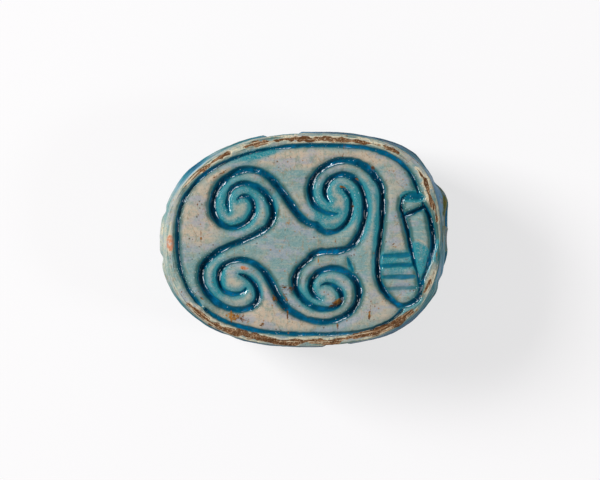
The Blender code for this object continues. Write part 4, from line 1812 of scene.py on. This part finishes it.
        warm = 0.18 + strongest(self.warmth(), at.sheet)
        face_warm = np.maximum(warm, np.minimum(warm + 1.1 * between, 1.3))
        thin = strongest(self.rubbed(), at.sheet, 0.14 * at.waver + 0.1 * at.fine - 0.19)
        edge = smooth_step(0.6 * MM, 0.25 * MM, at.inset) * (0.8 + 0.4 * at.waver)
        face_pale = np.maximum.reduce([edge, 0.7 * between, 1.4 * thin])
        pale = np.select([at.on_face, at.on_side], [face_pale, smooth_step(0.4 * MM, 0.1 * MM, at.depth)], 0.0)
        return {
            "pool": np.where(at.on_side, side_pool_and_shade, lines.pool),
            "soft": np.where(at.on_face, lines.soft, 0.3 * lines.soft),
            "gloss": np.where(at.on_side, np.maximum(0.3 * lines.gloss, 0.1 + 0.2 * seams), lines.gloss),
            "across": np.where(at.on_face, lines.across, FAR),
            "bank": lines.bank,
            "teal": teal,
            "warm": np.where(at.on_face, face_warm, np.minimum(warm, 1.0)),
            "pale": pale * (1 - 0.8 * smooth_step(0.0, 0.5, at.layers)),
            "rim": np.select([at.on_face, at.on_side], [smooth_step(0.65 * MM, 0.35 * MM, at.inset), side_rim], 0.0),
            "course": at.level / COURSE_SPAN,
        }

    def wear(self, at: Places) -> dict[str, np.ndarray]:
        """Where the stone is bare or stained, and the tints that only the flank has, nil as yet.

        Args:
            at: The places.

        Returns:
            Each attribute's values.
        """
        upper = at.on_face | (at.on_side & (at.depth < self.worn_depth))
        worn = strongest(self.rubbed(), at.sheet, 0.1 * at.waver + 0.09 * at.fine + 0.08 * at.layers)
        crack = strongest(self.cracks(), at.sheet, 0.035 * at.waver - 0.015) * np.clip(1.2 + 1.2 * at.fine, 0, 1.3)
        stain = at.on_face * np.maximum(strongest(self.stains(), at.sheet), crack)
        return {
            "worn": np.where(upper, worn, 0.0),
            "stain": np.maximum(stain, 0.5 * smooth_step(0.35, 0.7, -at.layers)),
            **{name: np.zeros(len(at.points)) for name in ("olive", "sky", "dusk")},
        }

    def shaped(self, at: Places, cut: np.ndarray, worn: np.ndarray) -> np.ndarray:
        """Carves, rubs, dents and swells the stone.

        Args:
            at: The places.
            cut: How deep the lines are cut, in metres.
            worn: Where the stone is rubbed bare.

        Returns:
            The moved points.
        """
        dents = sum(nick.dent(at.degrees) for nick in self.nicks())
        below = smooth_step(6.5 * MM, 4.6 * MM, at.depth)
        dented = np.maximum(dents, 0.0) * smooth_step(0.9 * MM, 1.5 * MM, at.depth) * below
        swollen = np.maximum(-dents, 0.0) * smooth_step(0.1 * MM, 1.2 * MM, at.depth) * below

        drop = cut * (1 + 0.14 * at.fine + 0.08 * at.waver) + self.grain_depth * at.fine
        drop += worn * (0.035 + 0.03 * at.pits) * MM
        drop += at.on_face * self.grain_depth * at.lump
        drop += (at.on_side | at.on_back) * self.flank_wear * (1 + at.lump)
        drop += at.on_side * (dented + 0.015 * MM * at.waver)
        resting = (at.points[:, 2] < 0.02 * MM) & (cut < 1e-6)
        drop = np.where(resting | at.in_bore, 0.0, np.maximum(drop, 0.0))

        moved = at.points - at.normals * drop[:, None]
        way = np.radians(at.degrees)
        moved[:, :2] += ((at.on_side | at.on_back) * swollen)[:, None] * np.stack([np.cos(way), np.sin(way)], axis=1)
        moved[:, 2] -= self.edge_rounding * np.select(
            [at.on_face, at.on_side],
            [smooth_step(0.5 * MM, 0.0, at.inset) ** 1.5, smooth_step(0.35 * MM, 0.0, at.depth)], 0.0)
        return moved

    def finished(self, surface: Surface) -> tuple[np.ndarray, dict[str, np.ndarray]]:
        """Carves and wears the stone.

        Args:
            surface: The uncarved surface.

        Returns:
            The carved points, and each attribute's values.
        """
        at = Places.of(surface, self.form)
        lines = self.carved(surface, at)
        values = self.glazed(at, lines) | self.wear(at)
        ragged = 1 + 0.3 * at.waver + 0.4 * at.lump + 0.4 * at.layers
        for stretch in self.flank():
            held = values[stretch.tint.value]
            cover = stretch.cover(at.degrees, at.depth) * ragged
            values[stretch.tint.value] = np.where(at.on_side | at.on_back, np.maximum(held, cover), held)
        return self.shaped(at, lines.cut, values["worn"]), values

    def build(self) -> bpy.types.Object:
        """Makes the finished amulet in place of the solid.

        Returns:
            The amulet's object.
        """
        fine = FineMesh(self.form, self.breaks())
        mesh = fine.pierced(*fine.build())
        surface = fine.surface(mesh)
        moved, values = self.finished(surface)
        mesh.vertices.foreach_set("co", moved.astype(np.float32).ravel())
        for name, value in values.items():
            layer = mesh.attributes.new(name, "FLOAT", "POINT")
            layer.data.foreach_set("value", np.clip(value, -1.5, 1.5).astype(np.float32))
        mesh.update()
        mesh.materials.clear()
        mesh.materials.append(self.finish.material())
        mesh.shade_smooth()
        mesh.name = "scarab_glazed"
        made = bpy.data.objects.new("scarab_glazed", mesh)
        bpy.context.scene.collection.objects.link(made)
        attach(made, "root")
        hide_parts("scarab")
        LOG.info("%s: %d faces", made.name, len(mesh.polygons))
        return made


@dataclass(frozen=True)
class Lamp:
    """A square soft lamp that faces the amulet."""

    name: str
    place: tuple[float, float, float]
    size: float
    watts: float
    colour: tuple[float, float, float]

    def build(self) -> None:
        """Hangs the lamp in its place."""
        light = bpy.data.lights.new(self.name, "AREA")
        light.size = self.size
        light.energy = self.watts
        light.color = self.colour
        lamp = bpy.data.objects.new(self.name, light)
        lamp.location = self.place
        lamp.rotation_euler = (-Vector(self.place)).to_track_quat("-Z", "Y").to_euler()
        bpy.context.scene.collection.objects.link(lamp)


@dataclass
class Studio:
    """A white table, soft light from the upper left and a camera that looks straight down."""

    photo_width: int = 600
    pixels_per_mm: float = 15.2
    middle_pixel: tuple[float, float] = (304.3, 239.3)
    image_middle: tuple[float, float] = (300.0, 240.0)
    camera_height: float = 0.5
    floor_size: float = 1.2
    lamps: tuple[Lamp, ...] = (
        Lamp("key_lamp", (-0.43, 0.18, 0.36), 0.22, 4.5, (0.99, 0.99, 1.0)),
        Lamp("glint_lamp", (0.4, -0.1, 0.34), 0.09, 0.45, (0.9, 0.96, 1.0)),
    )

    def floor(self) -> None:
        """A plain pale table top, lit a little from within as a light table is."""
        mesh = bpy.data.meshes.new("table_top")
        half = self.floor_size / 2
        mesh.from_pydata([(-half, -half, 0), (half, -half, 0), (half, half, 0), (-half, half, 0)], [], [(0, 1, 2, 3)])
        top = bpy.data.objects.new("table_top", mesh)
        bpy.context.scene.collection.objects.link(top)
        material = bpy.data.materials.new("table_white")
        book = NodeBook.of(material)
        book.feed("Base Color", (0.26, 0.255, 0.255, 1.0))
        book.feed("Roughness", 1.0)
        book.feed("Specular IOR Level", 0.0)
        book.feed("Emission Color", (1.0, 0.99, 0.995, 1.0))
        book.feed("Emission Strength", 0.67)
        mesh.materials.append(material)

    def light(self) -> None:
        """The lamps and the dim surroundings."""
        for lamp in self.lamps:
            lamp.build()
        world = bpy.data.worlds.new("pale_room")
        world.use_nodes = True
        world.node_tree.nodes["Background"].inputs["Color"].default_value = (0.97, 0.98, 1.0, 1.0)
        world.node_tree.nodes["Background"].inputs["Strength"].default_value = 0.3
        world.cycles_visibility.glossy = False
        bpy.context.scene.world = world
        bpy.context.scene.view_settings.view_transform = "Standard"

    def camera(self) -> None:
        """A long lens straight above, at the photograph's scale and placing."""
        lens = bpy.data.cameras.new("camera")
        height = self.camera_height
        lens.sensor_width = 36.0
        lens.lens = 36.0 * height / (self.photo_width / self.pixels_per_mm * MM)
        camera = bpy.data.objects.new("camera", lens)
        x = (self.image_middle[0] - self.middle_pixel[0]) / self.pixels_per_mm * MM
        y = -(self.image_middle[1] - self.middle_pixel[1]) / self.pixels_per_mm * MM
        camera.location = (x, y, height + 5.5 * MM)
        bpy.context.scene.collection.objects.link(camera)
        bpy.context.scene.camera = camera

    def build(self) -> None:
        """Sets up the floor, the lamps and the camera."""
        self.floor()
        self.light()
        self.camera()
        LOG.info("studio ready")


def main() -> None:
    """Loads the frame and builds the amulet and the studio."""
    logging.basicConfig(level=logging.INFO)
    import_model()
    Scarab().build()
    Studio().build()


if __name__ == "__main__":
    main()
